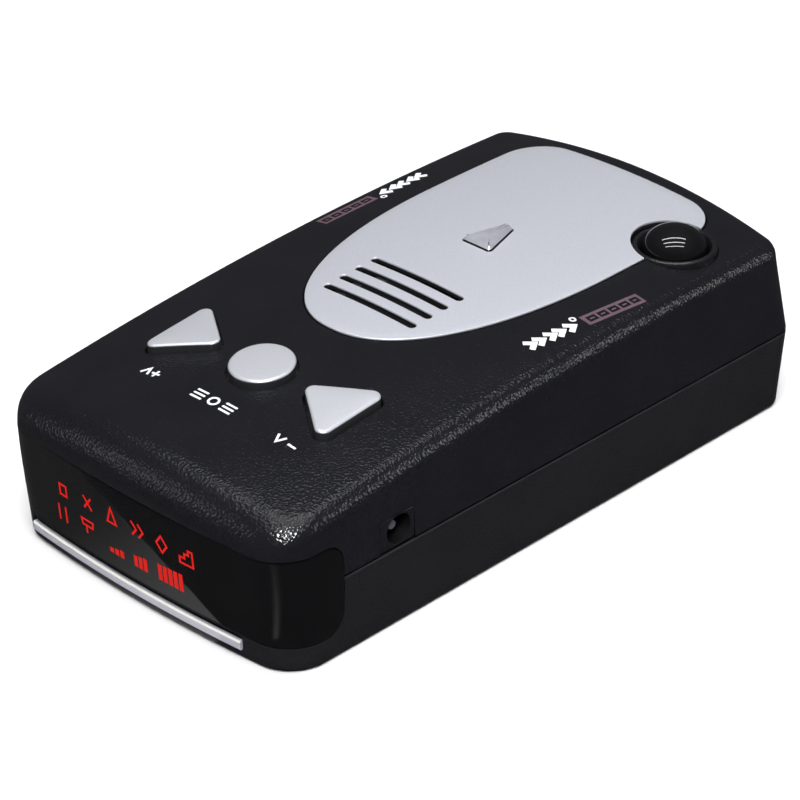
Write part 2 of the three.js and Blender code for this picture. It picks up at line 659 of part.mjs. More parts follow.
function makeMainBoard() {
  let board = block(MAIN_BOARD);
  bosses.forEach(([, x, y]) => {
    const innerX = x - Math.sign(x) * (BOSS_RADIUS + BOARD_CLEAR);
    const innerY = y - Math.sign(y) * (BOSS_RADIUS + BOARD_CLEAR);
    const outerX = Math.sign(x) * FAR;
    const outerY = Math.sign(y) * FAR;
    board = board.subtract(box(Math.min(outerX, innerX), Math.max(outerX, innerX),
      Math.min(outerY, innerY), Math.max(outerY, innerY), 0, FAR));
  });
  return board;
}
add('main_board', makeMainBoard(), BOARD_GREEN, 0.5);
add('display_board', block(DISPLAY_BOARD), BOARD_GREEN, 0.5);
add('led_display', block(LED_DISPLAY), '#26262a', 0.4);
add('button_board', block(BUTTON_BOARD), BOARD_GREEN, 0.5);

add('speaker_frame', turned(SPEAKER.x, SPEAKER.y, SPEAKER_FRAME, 32), STEEL, 0.4, 0.9);
add('speaker_magnet', post(SPEAKER.x, SPEAKER.y, SPEAKER_MAGNET.z0, SPEAKER_MAGNET.z1,
  SPEAKER_MAGNET.radius, 28), '#3a3a3e', 0.5, 0.4);
add('speaker_cone', turned(SPEAKER.x, SPEAKER.y, SPEAKER_CONE, 32), '#232327', 0.8);

function makeHorn() {
  const ring = (end, y, grow) => [
    [end.x1 + grow, end.z0 - grow],
    [end.x1 + grow, end.z1 + grow],
    [end.x0 - grow, end.z1 + grow],
    [end.x0 - grow, end.z0 - grow],
  ].map(([x, z]) => new THREE.Vector3(x, y, z));
  const frustum = (grow, throatY, mouthY) => loft([
    ring(HORN_MOUTH, mouthY, grow),
    ring(HORN_THROAT, throatY, grow),
  ]);
  return frustum(0, HORN_THROAT.y, HORN_MOUTH.y)
    .subtract(frustum(-HORN_SHEET, HORN_THROAT.y + HORN_SHEET, HORN_MOUTH.y + HAIR));
}
add('horn_antenna', makeHorn(), STEEL, 0.35, 0.9);
add('mixer_shield', block(MIXER), STEEL, 0.35, 0.9);
add('processor_chip', block(PROCESSOR), CHIP_BLACK, 0.5);
add('power_inductor', post(INDUCTOR.x, INDUCTOR.y, PARTS_Z, INDUCTOR.top, INDUCTOR.radius), '#2a2a2e', 0.6);
add('filter_capacitor', post(CAPACITOR.x, CAPACITOR.y, PARTS_Z, CAPACITOR.top, CAPACITOR.radius),
  '#23304a', 0.4);
add('voltage_regulator', block(REGULATOR), CHIP_BLACK, 0.5);

bosses.forEach(([place, x, y]) => {
  const shaft = post(x, y, SCREW_HEAD_Z1 - 0.2, SCREW_TOP_Z, SCREW_RADIUS, 16);
  const head = post(x, y, SCREW_HEAD_Z0, SCREW_HEAD_Z1, SCREW_HEAD_RADIUS, 20);
  const crossZ = SCREW_HEAD_Z0 + CROSS.depth;
  const crossA = box(x - CROSS.reach, x + CROSS.reach, y - CROSS.half, y + CROSS.half, 0, crossZ);
  const crossB = box(x - CROSS.half, x + CROSS.half, y - CROSS.reach, y + CROSS.reach, 0, crossZ);
  add(`case_screw_${place}`, head.add(shaft).subtract(crossA).subtract(crossB), STEEL, 0.3, 1);
});

// The origin moves to the middle of the object's box.
const extent = new THREE.Box3().setFromObject(group);
group.position.y = -(extent.min.y + extent.max.y) / 2;

export default group;
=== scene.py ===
"""Radar detector: finished surfaces, printed marks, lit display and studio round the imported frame."""
import json
import math

import bmesh
import bpy
import numpy as np
from mathutils import Matrix, Vector


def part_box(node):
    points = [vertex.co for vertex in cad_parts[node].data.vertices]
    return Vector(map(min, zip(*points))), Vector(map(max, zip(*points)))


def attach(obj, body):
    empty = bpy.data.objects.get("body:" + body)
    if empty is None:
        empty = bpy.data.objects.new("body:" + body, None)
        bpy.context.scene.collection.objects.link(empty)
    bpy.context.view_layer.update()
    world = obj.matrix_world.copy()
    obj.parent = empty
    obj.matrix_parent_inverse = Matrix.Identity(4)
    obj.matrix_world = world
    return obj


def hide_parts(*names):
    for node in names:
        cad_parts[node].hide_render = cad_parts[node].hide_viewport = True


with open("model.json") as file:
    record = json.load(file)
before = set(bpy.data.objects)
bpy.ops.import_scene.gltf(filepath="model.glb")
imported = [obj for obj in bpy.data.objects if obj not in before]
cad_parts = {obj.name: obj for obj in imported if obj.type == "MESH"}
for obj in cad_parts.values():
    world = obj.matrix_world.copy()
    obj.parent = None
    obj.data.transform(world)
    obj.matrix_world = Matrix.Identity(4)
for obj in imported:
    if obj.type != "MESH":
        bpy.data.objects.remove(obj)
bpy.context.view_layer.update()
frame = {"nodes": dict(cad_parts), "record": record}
scene = bpy.context.scene
MM = 0.001

# ------------ dimensions, in millimetres

HALF_WIDTH = 30.0
PARTING_Z = 13.2
PARTING_GAP = 0.3
SIDE_DRAFT = 0.04
FRONT_FOOT_Y = -52.8
FRONT_LEAN = 0.082
REAR_Y = 58.7
REAR_DRAFT_UP = 0.185
REAR_DRAFT_DOWN = 0.08
FRONT_BOW = 0.0020
REAR_BOW = 0.0020
FRONT_CORNER = 6.0
REAR_CORNER = 3.0
WALL = 1.8
FLOOR = 2.0
FOOT_ROUND = 0.9
TOP_Z = 31.05
TOP_SLOPE = 0.0545
TOP_SAG = 0.00082
TOP_CROWN = 0.0032
SIDE_ROUND = 2.3
FRONT_ROUND = 5.25
SMALLEST_ROUND = 0.8
SIDE_WALL_TOP = 26.5
FRONT_WALL_TOP = 20.5
REAR_WALL_TOP = 29.5
GAP = 0.3
FAR = 80.0
CUT_LOW = 20.0
CUT_HIGH = 40.0

PANEL_HALF_WIDTH = 19.6
PANEL_FRONT_Y = -14.5
PANEL_WIDEST_Y = 27.0
PANEL_REAR_Y = 51.3
PANEL_REAR_CORNER = 7.0
PANEL_SINK = 0.6
PANEL_PROUD = 0.2
PANEL_POWER = 2.2
PANEL_EDGE = 0.1
PANEL_SKIN = 0.26
PANEL_GAP = 0.24
MOUTH_FLARE = 0.3
PANEL_CENTRE = (0.0, 22.0)
SLOT_COUNT = 4
SLOT_FIRST_Y = -6.3
SLOT_PITCH = 3.32
SLOT_HALF_LENGTH = 9.35
SLOT_WIDTH = 1.4
SLOT_EDGE = 0.1
ARROW_FRONT_Y = 17.1
ARROW_REAR_Y = 24.6
ARROW_FRONT_HALF = 2.75
ARROW_REAR_HALF = 0.85
ARROW_CORNER = 0.45
ARROW_CENTRE = (0.0, 20.2)
ARROW_SHIFT = np.array([0.0, -0.7])
ARROW_PROUD = 1.05
ARROW_BEVEL = 0.55
ARROW_GAP = 0.22
ARROW_WELL = 0.9
ARROW_FOOT_Z = 26.0
DOME = (19.9, 39.3)
DOME_RADIUS = 5.03
DOME_RISE = 3.6
DOME_MIDDLE_Z = 30.2
DOME_SKIN = 1.4
DOME_FOOT_Z = 26.6
RING_TOP_Z = 30.9
RING_OUTER = 6.6
RING_GAP_CASE = 0.12
RING_GAP_PANEL = 0.15
RING_INNER = 5.3
RING_FOOT_Z = 26.0

BUTTON_Y = -28.15
BUTTON_SIDE_X = 14.93
MENU_RADIUS = 4.95
TRIANGLE_IN = 9.35
TRIANGLE_OUT = 18.7
TRIANGLE_HALF = 6.1
TRIANGLE_CORNER = 1.3
BUTTON_PROUD = 1.35
BUTTON_EDGE = 0.42
FLANGE_GROW = 0.8
FLANGE_Z = 23.8
KEY_FLARE = 0.28

LENS_BOTTOM_Z = 4.4
LENS_TOP_Z = 18.8
LENS_END_Y = -41.6
LENS_CORNER = 3.0
LENS_THICKNESS = 1.8
LENS_GAP = 0.2
STRIP_Z0 = 1.6
STRIP_Z1 = 3.1
STRIP_BEVEL = 0.2
STRIP_END_GAP = 0.22
STRIP_LEFT = -24.7
STRIP_RIGHT = 20.2
STRIP_PROUD = 0.35
STRIP_SINK = 0.5
JACK_Y0 = -34.4
JACK_Y1 = -27.5
JACK_Z0 = 13.5
JACK_Z1 = 18.5
JACK_X0 = 20.0
JACK_HOLE_Y = -30.6
JACK_HOLE_Z = 16.1
JACK_HOLE_RADIUS = 2.3
JACK_BACK = 1.5
JACK_GROW = 0.07
TONGUE_TOP = 14.9
TONGUE_INSET = 1.3
LIP = 0.16
BOSSES = [(-23.5, -38.0), (23.5, -38.0), (-24.0, 50.4), (24.0, 50.4)]
SCREW_HEAD_HOLE = 2.5

# The frame's Y zero is the middle of the object's box; the lengths above count from another line.
menu_low, menu_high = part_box("menu_button")
SHIFT = (menu_low[1] + menu_high[1]) / 2 / MM - BUTTON_Y


# ------------ surfaces

def top_z(x, y):
    return TOP_Z + TOP_SLOPE * y - TOP_SAG * y * y - TOP_CROWN * x * x


def wall_x(z):
    return HALF_WIDTH - SIDE_DRAFT * abs(z - PARTING_Z)


def wall_front_y(z):
    return FRONT_FOOT_Y - FRONT_LEAN * z


def wall_rear_y(z):
    return REAR_Y - (REAR_DRAFT_UP if z > PARTING_Z else REAR_DRAFT_DOWN) * abs(z - PARTING_Z)


def front_y(x, z):
    """Front face of the case, round its corners too."""
    straight = wall_x(z) - FRONT_CORNER
    past = max(0.0, abs(x) - straight)
    turned = FRONT_CORNER - math.sqrt(max(0.0, FRONT_CORNER ** 2 - past ** 2))
    return wall_front_y(z) + turned + FRONT_BOW * x * x


def over(offset):
    return lambda x, y: top_z(x, y) + offset


def level(z):
    return lambda x, y: z


# ------------ outlines

CORNER_STEPS = 14
SIDE_STEPS = 34
END_STEPS = 22


def case_outline(half_width, front, rear, front_corner, rear_corner):
    """Points anticlockwise from the right rear corner, as (x, y, how far each faces the front)."""
    points = []

    def put(x, y, facing):
        bow = FRONT_BOW if y < 0 else -REAR_BOW
        points.append((x, y + bow * x * x, max(0.0, facing)))

    def corner(sign_x, sign_y, radius, end_y, start):
        cx = sign_x * (half_width - radius)
        cy = end_y - sign_y * radius
        for i in range(CORNER_STEPS + 1):
            angle = start + math.pi / 2 * i / CORNER_STEPS
            put(cx + radius * math.cos(angle), cy + radius * math.sin(angle), -math.sin(angle))

    def across(y, x0, x1, facing):
        for i in range(1, END_STEPS):
            put(x0 + (x1 - x0) * i / END_STEPS, y, facing)

    def beside(x, y0, y1):
        for i in range(1, SIDE_STEPS):
            points.append((x, y0 + (y1 - y0) * i / SIDE_STEPS, 0.0))

    rear_x = half_width - rear_corner
    front_x = half_width - front_corner
    side_rear = rear - rear_corner - REAR_BOW * half_width ** 2
    side_front = front + front_corner + FRONT_BOW * half_width ** 2
    corner(1, 1, rear_corner, rear, 0)
    across(rear, rear_x, -rear_x, 0)
    corner(-1, 1, rear_corner, rear, math.pi / 2)
    beside(-half_width, side_rear, side_front)
    corner(-1, -1, front_corner, front, math.pi)
    across(front, -front_x, front_x, 1)
    corner(1, -1, front_corner, front, math.pi * 1.5)
    beside(half_width, side_front, side_rear)
    return np.array(points)


def case_plan(z_side, z_front, z_rear, inset, inset_front=None, inset_rear=None):
    inset_front = inset if inset_front is None else inset_front
    inset_rear = inset if inset_rear is None else inset_rear
    return case_outline(
        wall_x(z_side) - inset,
        wall_front_y(z_front) + inset_front,
        wall_rear_y(z_rear) - inset_rear,
        max(1.0, FRONT_CORNER - min(inset, FRONT_CORNER)),
        max(SMALLEST_ROUND, REAR_CORNER - min(inset, REAR_CORNER)))


def flat_ring(z, inset):
    plan = case_plan(z, z, z, inset)
    return np.column_stack([plan[:, 0], plan[:, 1], np.full(len(plan), z)])


def rounded(corners, radius, steps=12):
    """A convex polygon, anticlockwise, grown by radius with round corners."""
    out = []
    count = len(corners)
    for i, (x, y) in enumerate(corners):
        px, py = corners[i - 1]
        nx, ny = corners[(i + 1) % count]
        start = math.atan2(y - py, x - px) - math.pi / 2
        turn = (math.atan2(ny - y, nx - x) - math.pi / 2 - start) % (2 * math.pi)
        for k in range(steps + 1):
            angle = start + turn * k / steps
            out.append((x + radius * math.cos(angle), y + radius * math.sin(angle)))
    return refined(np.array(out), np.repeat(np.array(corners, float), steps + 1, axis=0), 1.0)


def refined(points, guide, longest):
    """The same closed outline with more points, as many as keep the guide's steps under longest."""
    out = []
    for a, b, c, d in zip(points, np.roll(points, -1, axis=0), guide, np.roll(guide, -1, axis=0)):
        steps = max(1, int(math.ceil(np.linalg.norm(d - c) / longest)))
        out.extend(a + (b - a) * k / steps for k in range(steps))
    return np.array(out)


def disc(x, y, radius, steps=72):
    angles = np.arange(steps) * 2 * math.pi / steps
    return np.column_stack([x + radius * np.cos(angles), y + radius * np.sin(angles)])


def triangle(side, grow):
    r = TRIANGLE_CORNER
    out = TRIANGLE_OUT - r
    half = TRIANGLE_HALF - r
    corners = [(side * (TRIANGLE_IN + r), BUTTON_Y), (side * out, BUTTON_Y - half),
               (side * out, BUTTON_Y + half)]
    return rounded(corners if side > 0 else corners[::-1], r + grow)


BUTTONS = {
    "up": ((-BUTTON_SIDE_X, BUTTON_Y), lambda grow: triangle(-1, grow)),
    "menu": ((0.0, BUTTON_Y), lambda grow: disc(0.0, BUTTON_Y, MENU_RADIUS + grow)),
    "down": ((BUTTON_SIDE_X, BUTTON_Y), lambda grow: triangle(1, grow)),
}


def arrow(grow):
    r = ARROW_CORNER
    return rounded([
        (ARROW_FRONT_HALF - r, ARROW_FRONT_Y + r), (ARROW_REAR_HALF - r, ARROW_REAR_Y - r),
        (-ARROW_REAR_HALF + r, ARROW_REAR_Y - r), (-ARROW_FRONT_HALF + r, ARROW_FRONT_Y + r)], r + grow, 8)


def panel_corners(grow):
    half_width = PANEL_HALF_WIDTH + grow
    corner = PANEL_REAR_CORNER + grow
    rear = PANEL_REAR_Y + grow
    power = 2 / PANEL_POWER
    nose = 110
    points = []
    for i in range(nose + 1):
        angle = math.pi + math.pi * i / nose
        c, s = math.cos(angle), math.sin(angle)
        points.append((half_width * math.copysign(abs(c) ** power, c),
                       PANEL_WIDEST_Y - (PANEL_WIDEST_Y - PANEL_FRONT_Y + grow) * abs(s) ** power))
    for sign, start in ((1, 0.0), (-1, math.pi / 2)):
        for i in range(CORNER_STEPS + 1):
            angle = start + math.pi / 2 * i / CORNER_STEPS
            points.append((sign * (half_width - corner) + corner * math.cos(angle),
                           rear - corner + corner * math.sin(angle)))
    return np.array(points)


def panel_outline(grow):
    return refined(panel_corners(grow), panel_corners(0.0), 1.4)


def slot_outline(y, grow):
    reach = SLOT_HALF_LENGTH - SLOT_WIDTH / 2
    return rounded([(reach, y - 0.001), (reach, y + 0.001), (-reach, y + 0.001), (-reach, y - 0.001)],
                   SLOT_WIDTH / 2 + grow, 6)


# ------------ meshes

def loft(rings):
    """Closed skin over rings of equal length, anticlockwise, listed from the bottom up."""
    count = len(rings[0])
    points = np.vstack(rings)
    faces = []
    for r in range(len(rings) - 1):
        for i in range(count):
            a = r * count + i
            b = r * count + (i + 1) % count
            faces.append((a, b, b + count, a + count))
    last = (len(rings) - 1) * count
    points = np.vstack([points, rings[0].mean(axis=0), rings[-1].mean(axis=0)])
    for i in range(count):
        after = (i + 1) % count
        faces.append((len(points) - 2, after, i))
        faces.append((len(points) - 1, last + i, last + after))
    return points, faces


def looped(rings):
    """Closed skin over rings whose last joins the first, such as a hollow wall or a collar."""
    count = len(rings[0])
    faces = []
    for r in range(len(rings)):
        s = (r + 1) % len(rings)
        for i in range(count):
            j = (i + 1) % count
            faces.append((r * count + i, r * count + j, s * count + j, s * count + i))
    return np.vstack(rings), faces


def make(name, points, faces):
    """A mesh object from millimetre points, with its Y moved into the frame."""
    mesh = bpy.data.meshes.new(name)
    placed = (np.asarray(points, float) + (0, SHIFT, 0)) * MM
    mesh.from_pydata(placed.tolist(), [], [tuple(int(i) for i in f) for f in faces])
    mesh.validate()
    mesh.update()
    obj = bpy.data.objects.new(name, mesh)
    scene.collection.objects.link(obj)
    return obj


def merged(parts):
    """Several (points, faces) as one."""
    points, faces, start = [], [], 0
    for p, f in parts:
        points.append(np.asarray(p, float))
        faces.extend(tuple(i + start for i in face) for face in f)
        start += len(p)
    return np.vstack(points), faces


def carve(obj, parts, operation="DIFFERENCE"):
    """Boolean of obj with closed parts that don't touch each other; the result is applied."""
    tool = make("tool", *merged(parts))
    modifier = obj.modifiers.new("carve", "BOOLEAN")
    modifier.operation = operation
    modifier.solver = "EXACT"
    modifier.object = tool
    graph = bpy.context.evaluated_depsgraph_get()
    mesh = bpy.data.meshes.new_from_object(obj.evaluated_get(graph))
    obj.modifiers.clear()
    old = obj.data
    obj.data = mesh
    mesh.name = obj.name
    bpy.data.meshes.remove(old)
    bpy.data.objects.remove(tool)


def soften(obj, angle=32):
    """Smooth shading that breaks at edges sharper than the angle."""
    for polygon in obj.data.polygons:
        polygon.use_smooth = True
    obj.data.set_sharp_from_angle(angle=math.radians(angle))


def second_finish(obj, chosen):
    """Gives the faces that chosen() picks the piece's second material."""
    for polygon in obj.data.polygons:
        if chosen(polygon):
            polygon.material_index = 1


def piece(obj, materials, body="case", nodes=()):
    """Gives obj its finish and its body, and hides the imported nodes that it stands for."""
    for material in materials:
        obj.data.materials.append(material)
    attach(obj, body)
    if nodes:
        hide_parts(*nodes)
    return obj


def scaled(outline, centre, keep, height):
    xy = np.asarray(centre) + (outline - np.asarray(centre)) * keep
    return np.column_stack([xy, [height(x, y) for x, y in xy]])


def lifted(outline, height):
    return np.column_stack([outline, [height(x, y) for x, y in outline]])


def cutter(outline, centre, bottom, grow=GAP, flare=0.22):
    """A cutting body down from above the top face, with its mouth rounded over."""
    rings = [scaled(outline(grow), centre, keep, bottom) for keep in (0.33, 0.66)]
    rings.append(lifted(outline(grow), bottom))
    for degrees in (0, 22, 44, 62, 78):
        a = math.radians(degrees)
        rings.append(lifted(outline(grow + flare * (1 - math.cos(a))), over(-flare * (1 - math.sin(a)))))
    rings.append(lifted(outline(grow + flare * (1 - math.cos(math.radians(78)))), over(3)))
    return loft(rings)


def button_rings(outline, centre, crown=0.12):
    """A key from its hidden flange up to its crowned, round-edged top."""
    flange = over(-WALL - GAP - 0.05)
    rings = [lifted(outline(FLANGE_GROW), level(FLANGE_Z)), lifted(outline(FLANGE_GROW), flange),
             lifted(outline(0.02), flange), lifted(outline(0), over(-WALL)), lifted(outline(0), over(0))]
    edge = BUTTON_EDGE
    high = BUTTON_PROUD - crown
    rings.append(lifted(outline(0), over(high / 2)))
    for degrees in (0, 15, 30, 45, 60, 75, 90):
        a = math.radians(degrees)
        rings.append(lifted(outline(-edge * (1 - math.cos(a))), over(high - edge * (1 - math.sin(a)))))
    rim = outline(-edge)
    for keep in (0.9, 0.75, 0.55, 0.35, 0.15):
        rings.append(scaled(rim, centre, keep, over(high + crown * (1 - keep ** 2))))
    return rings


# ------------ materials

class Recipe:
    """Nodes of one material; everything is placed by object coordinates, counted in millimetres."""

    def __init__(self, name, base, roughness, metallic=0.0, specular=0.5):
        self.material = bpy.data.materials.new(name)
        self.material.use_nodes = True
        self.tree = self.material.node_tree
        self.shader = self.tree.nodes["Principled BSDF"]
        self.set("Base Color", (*base, 1))
        self.set("Roughness", roughness)
        self.set("Metallic", metallic)
        self.set("Specular IOR Level", specular)
        self.base = base
        self.roughness = roughness
        self.where = self.node("ShaderNodeMapping")
        self.where.inputs["Scale"].default_value = (1 / MM, 1 / MM, 1 / MM)
        self.link(self.node("ShaderNodeTexCoord").outputs["Object"], self.where.inputs["Vector"])
        self.normal = None

    def set(self, socket, value):
        self.shader.inputs[socket].default_value = value

    def node(self, kind):
        return self.tree.nodes.new(kind)

    def link(self, a, b):
        self.tree.links.new(a, b)

    def noise(self, size, detail, distortion=0.0):
        """A noise whose features are about size millimetres across."""
        texture = self.node("ShaderNodeTexNoise")
        texture.inputs["Scale"].default_value = 1 / size
        texture.inputs["Detail"].default_value = detail
        texture.inputs["Distortion"].default_value = distortion
        self.link(self.where.outputs["Vector"], texture.inputs["Vector"])
        return texture.outputs["Fac"]

    def cells(self, size):
        """Rounded cells about size millimetres across."""
        texture = self.node("ShaderNodeTexVoronoi")
        texture.inputs["Scale"].default_value = 1 / size
        self.link(self.where.outputs["Vector"], texture.inputs["Vector"])
        return texture.outputs["Distance"]

    def ramp(self, value, low, high):
        """Runs from the colour low to the colour high over the middle of the value's range."""
        ramp = self.node("ShaderNodeValToRGB")
        for element, position, colour in zip(ramp.color_ramp.elements, (0.3, 0.7), (low, high)):
            element.position = position
            element.color = (*colour, 1)
        self.link(value, ramp.inputs["Fac"])
        return ramp.outputs["Color"]

    def mottle(self, value, amount, tint=(1, 1, 1)):
        """Base colour that wanders by amount either way round the base."""
        dark = tuple(c * (1 - amount) for c in self.base)
        light = tuple(min(1, c * (1 + amount) * t) for c, t in zip(self.base, tint))
        self.link(self.ramp(value, dark, light), self.shader.inputs["Base Color"])
        return self

    def vary(self, value, amount):
        """Roughness that wanders by amount either way."""
        span = self.node("ShaderNodeMapRange")
        span.inputs["To Min"].default_value = max(0.02, self.roughness - amount)
        span.inputs["To Max"].default_value = self.roughness + amount
        self.link(value, span.inputs["Value"])
        self.link(span.outputs["Result"], self.shader.inputs["Roughness"])
        return self

    def bump(self, value, height, strength=1.0):
        """Relief of that height in millimetres, added to any before it."""
        node = self.node("ShaderNodeBump")
        node.inputs["Strength"].default_value = strength
        node.inputs["Distance"].default_value = height * MM
        self.link(value, node.inputs["Height"])
        if self.normal:
            self.link(self.normal, node.inputs["Normal"])
        self.normal = node.outputs["Normal"]
        self.link(self.normal, self.shader.inputs["Normal"])
        return self


def grained(name, base, roughness, height, specular):
    """Moulded black plastic with a fine leather grain."""
    recipe = Recipe(name, base, roughness, specular=specular)
    recipe.mottle(recipe.noise(9, 4), 0.1)
    recipe.vary(recipe.noise(0.5, 4), 0.04)
    recipe.bump(recipe.cells(0.44), height)
    recipe.bump(recipe.noise(0.24, 2, distortion=0.4), height * 0.45)
    recipe.bump(recipe.noise(5, 2), height, 0.5)
    return recipe.material


def painted(name, base, roughness, metallic):
    """Silver paint with fine flakes and a faint orange peel."""
    recipe = Recipe(name, base, roughness, metallic=metallic)
    recipe.mottle(recipe.noise(0.22, 2), 0.055)
    recipe.vary(recipe.noise(0.3, 3), 0.05)
    recipe.bump(recipe.noise(0.35, 3), 0.006)
    recipe.bump(recipe.noise(2.2, 2), 0.006)
    return recipe.material


def glossy(name, base, roughness, specular, cloud, haze, wave, height):
    """Polished black plastic; cloud, haze and wave scale its colour, gloss and surface changes."""
    recipe = Recipe(name, base, roughness, specular=specular)
    recipe.mottle(recipe.noise(cloud, 2), 0.2).vary(recipe.noise(haze, 3), 0.012)
    recipe.bump(recipe.noise(wave, 1), height)
    return recipe.material


def plain(name, base, roughness, metallic=0.0, feature=0.6, height=0.01, specular=0.5):
    """A simple finish with some wear in its colour and gloss."""
    recipe = Recipe(name, base, roughness, metallic=metallic, specular=specular)
    recipe.mottle(recipe.noise(feature * 4, 4), 0.12)
    recipe.vary(recipe.noise(feature, 4), min(0.12, roughness * 0.5))
    recipe.bump(recipe.noise(feature, 3), height)
    return recipe.material


CASE_BLACK = (0.0085, 0.0086, 0.0106)
SIDE_BLACK = (0.0112, 0.0112, 0.0134)
SILVER = (0.56, 0.575, 0.63)

case_top = grained("case_grain_top", CASE_BLACK, 0.12, 0.062, 0.24)
case_side = grained("case_grain_side", SIDE_BLACK, 0.42, 0.045, 0.3)
panel_silver = painted("panel_silver_paint", SILVER, 0.42, 0.45)
strip_silver = painted("strip_silver_foil", (0.55, 0.55, 0.63), 0.34, 0.25)
# Cream on the strip's upward bevel: a painted highlight.
strip_painted_highlight = painted("strip_painted_highlight_edge", (0.74, 0.73, 0.65), 0.4, 0.0)
arrow_silver = plain("arrow_silver_clear", (0.47, 0.48, 0.53), 0.34, metallic=0.5, feature=0.5, height=0.03)
lens_black = glossy("lens_smoked", (0.0035, 0.0035, 0.004), 0.035, 0.5,
                    cloud=14, haze=3, wave=30, height=0.02)
dome_black = glossy("dome_gloss", (0.004, 0.004, 0.0045), 0.04, 0.6, cloud=6, haze=2, wave=8, height=0.01)
ring_black = plain("ring_satin", (0.008, 0.008, 0.009), 0.3, height=0.004)
jack_black = plain("jack_plastic", (0.008, 0.008, 0.0095), 0.5, height=0.01, specular=0.3)
# Near-black and barely glossy: painted shade for inside the socket's hole and the gap round its face.
hole_painted_shade = plain("hole_painted_shade", (0.0022, 0.0022, 0.0026), 0.75, height=0.01, specular=0.08)


def button_finish():
    """Silver on the top of a key, thinning to the black moulding down its sides."""
    recipe = Recipe("button_silver_paint", (0.51, 0.52, 0.56), 0.4, metallic=0.4)
    split = recipe.node("ShaderNodeSeparateXYZ")
    geometry = recipe.node("ShaderNodeNewGeometry")
    recipe.link(geometry.outputs["Normal"], split.inputs["Vector"])
    silver = recipe.ramp(recipe.noise(0.22, 2), (0.49, 0.5, 0.54), (0.53, 0.54, 0.58))
    mix = recipe.node("ShaderNodeMix")
    mix.data_type = "RGBA"
    facing = recipe.node("ShaderNodeMapRange")
    facing.inputs["From Min"].default_value = 0.12
    facing.inputs["From Max"].default_value = 0.5
    recipe.link(split.outputs["Z"], facing.inputs["Value"])
    recipe.link(facing.outputs["Result"], mix.inputs["Factor"])
    mix.inputs[6].default_value = (0.035, 0.036, 0.04, 1)
    recipe.link(silver, mix.inputs[7])
    recipe.link(mix.outputs[2], recipe.shader.inputs["Base Color"])
    recipe.vary(recipe.noise(0.3, 3), 0.05)
    recipe.bump(recipe.noise(0.35, 3), 0.006)
    return recipe.material


button_silver = button_finish()


def lit(name, colour, strength):
    """A glowing sign, a little uneven in brightness."""
    recipe = Recipe(name, tuple(c * 0.2 for c in colour), 0.6, specular=0.1)
    recipe.set("Emission Color", (*colour, 1))
    glow = recipe.node("ShaderNodeMapRange")
    glow.inputs["To Min"].default_value = strength * 0.85
    glow.inputs["To Max"].default_value = strength * 1.1
    recipe.link(recipe.noise(0.8, 2), glow.inputs["Value"])
    recipe.link(glow.outputs["Result"], recipe.shader.inputs["Emission Strength"])
    return recipe.material


glyph_red = lit("display_red", (0.75, 0.008, 0.003), 0.75)
print_white = plain("print_white", (0.82, 0.83, 0.86), 0.55, height=0.002)
print_rose = plain("print_rose", (0.092, 0.052, 0.068), 0.6, height=0.002)

# ------------ case

WALL_STEPS = 8
ROUND_STEPS = 12
CAP_STEPS = 26
CAP_CENTRE_Y = 2.0


def upper_rings(z_bottom, inset, cap_steps):
    """Walls, rounding and crowned top of the upper half, drawn in by inset."""
    side_round = max(SMALLEST_ROUND, SIDE_ROUND - inset)
    front_round = max(SMALLEST_ROUND, FRONT_ROUND - inset)
    rings = []

    def put(plan, drop):
        z = [top_z(x, y) - inset - drop(side_round + (front_round - side_round) * f * f)
             for x, y, f in plan]
        rings.append(np.column_stack([plan[:, 0], plan[:, 1], z]))

    for i in range(WALL_STEPS + 1):
        t = i / WALL_STEPS
        plan = case_plan(z_bottom + (SIDE_WALL_TOP - z_bottom) * t,
                         z_bottom + (FRONT_WALL_TOP - z_bottom) * t,
                         z_bottom + (REAR_WALL_TOP - z_bottom) * t, inset)
        put(plan, lambda r: r)
        rings[-1][:, 2] = z_bottom + (rings[-1][:, 2] - z_bottom) * t
    for i in range(1, ROUND_STEPS + 1):
        a = math.pi / 2 * i / ROUND_STEPS
        drawn = 1 - math.cos(a)
        plan = case_plan(SIDE_WALL_TOP, FRONT_WALL_TOP, REAR_WALL_TOP, inset + side_round * drawn,
                         inset + front_round * drawn, inset + side_round * drawn)
        put(plan, lambda r: r * (1 - math.sin(a)))
    edge = rings[-1]
    for i in range(1, cap_steps):
        keep = 1 - i / cap_steps
        x = edge[:, 0] * keep
        y = CAP_CENTRE_Y + (edge[:, 1] - CAP_CENTRE_Y) * keep
        rings.append(np.column_stack([x, y, top_z(x, y) - inset]))
    return rings


def lens_prism(grow):
    """The window's side shape, drawn right across the case."""
    r = LENS_CORNER + grow
    end = LENS_END_Y + grow
    low = LENS_BOTTOM_Z - grow
    high = LENS_TOP_Z + grow
    profile = [(-FAR, high), (-FAR, low)]
    for centre_z, start in ((low + r, -90), (high - r, 0)):
        for k in range(13):
            a = math.radians(start + 7.5 * k)
            profile.append((end - r + r * math.cos(a), centre_z + r * math.sin(a)))
    ring = np.array(profile)
    rings = [np.column_stack([np.full(len(ring), x), ring]) for x in (-40.0, 0.0, 40.0)]
    return loft(rings)


def box_part(x0, x1, y0, y1, z0, z1):
    """A plain box, for cutting."""
    ring = np.array([(x0, y0), (x1, y0), (x1, y1), (x0, y1)], float)
    return loft([lifted(ring, level(z0)), lifted(ring, level(z1))])


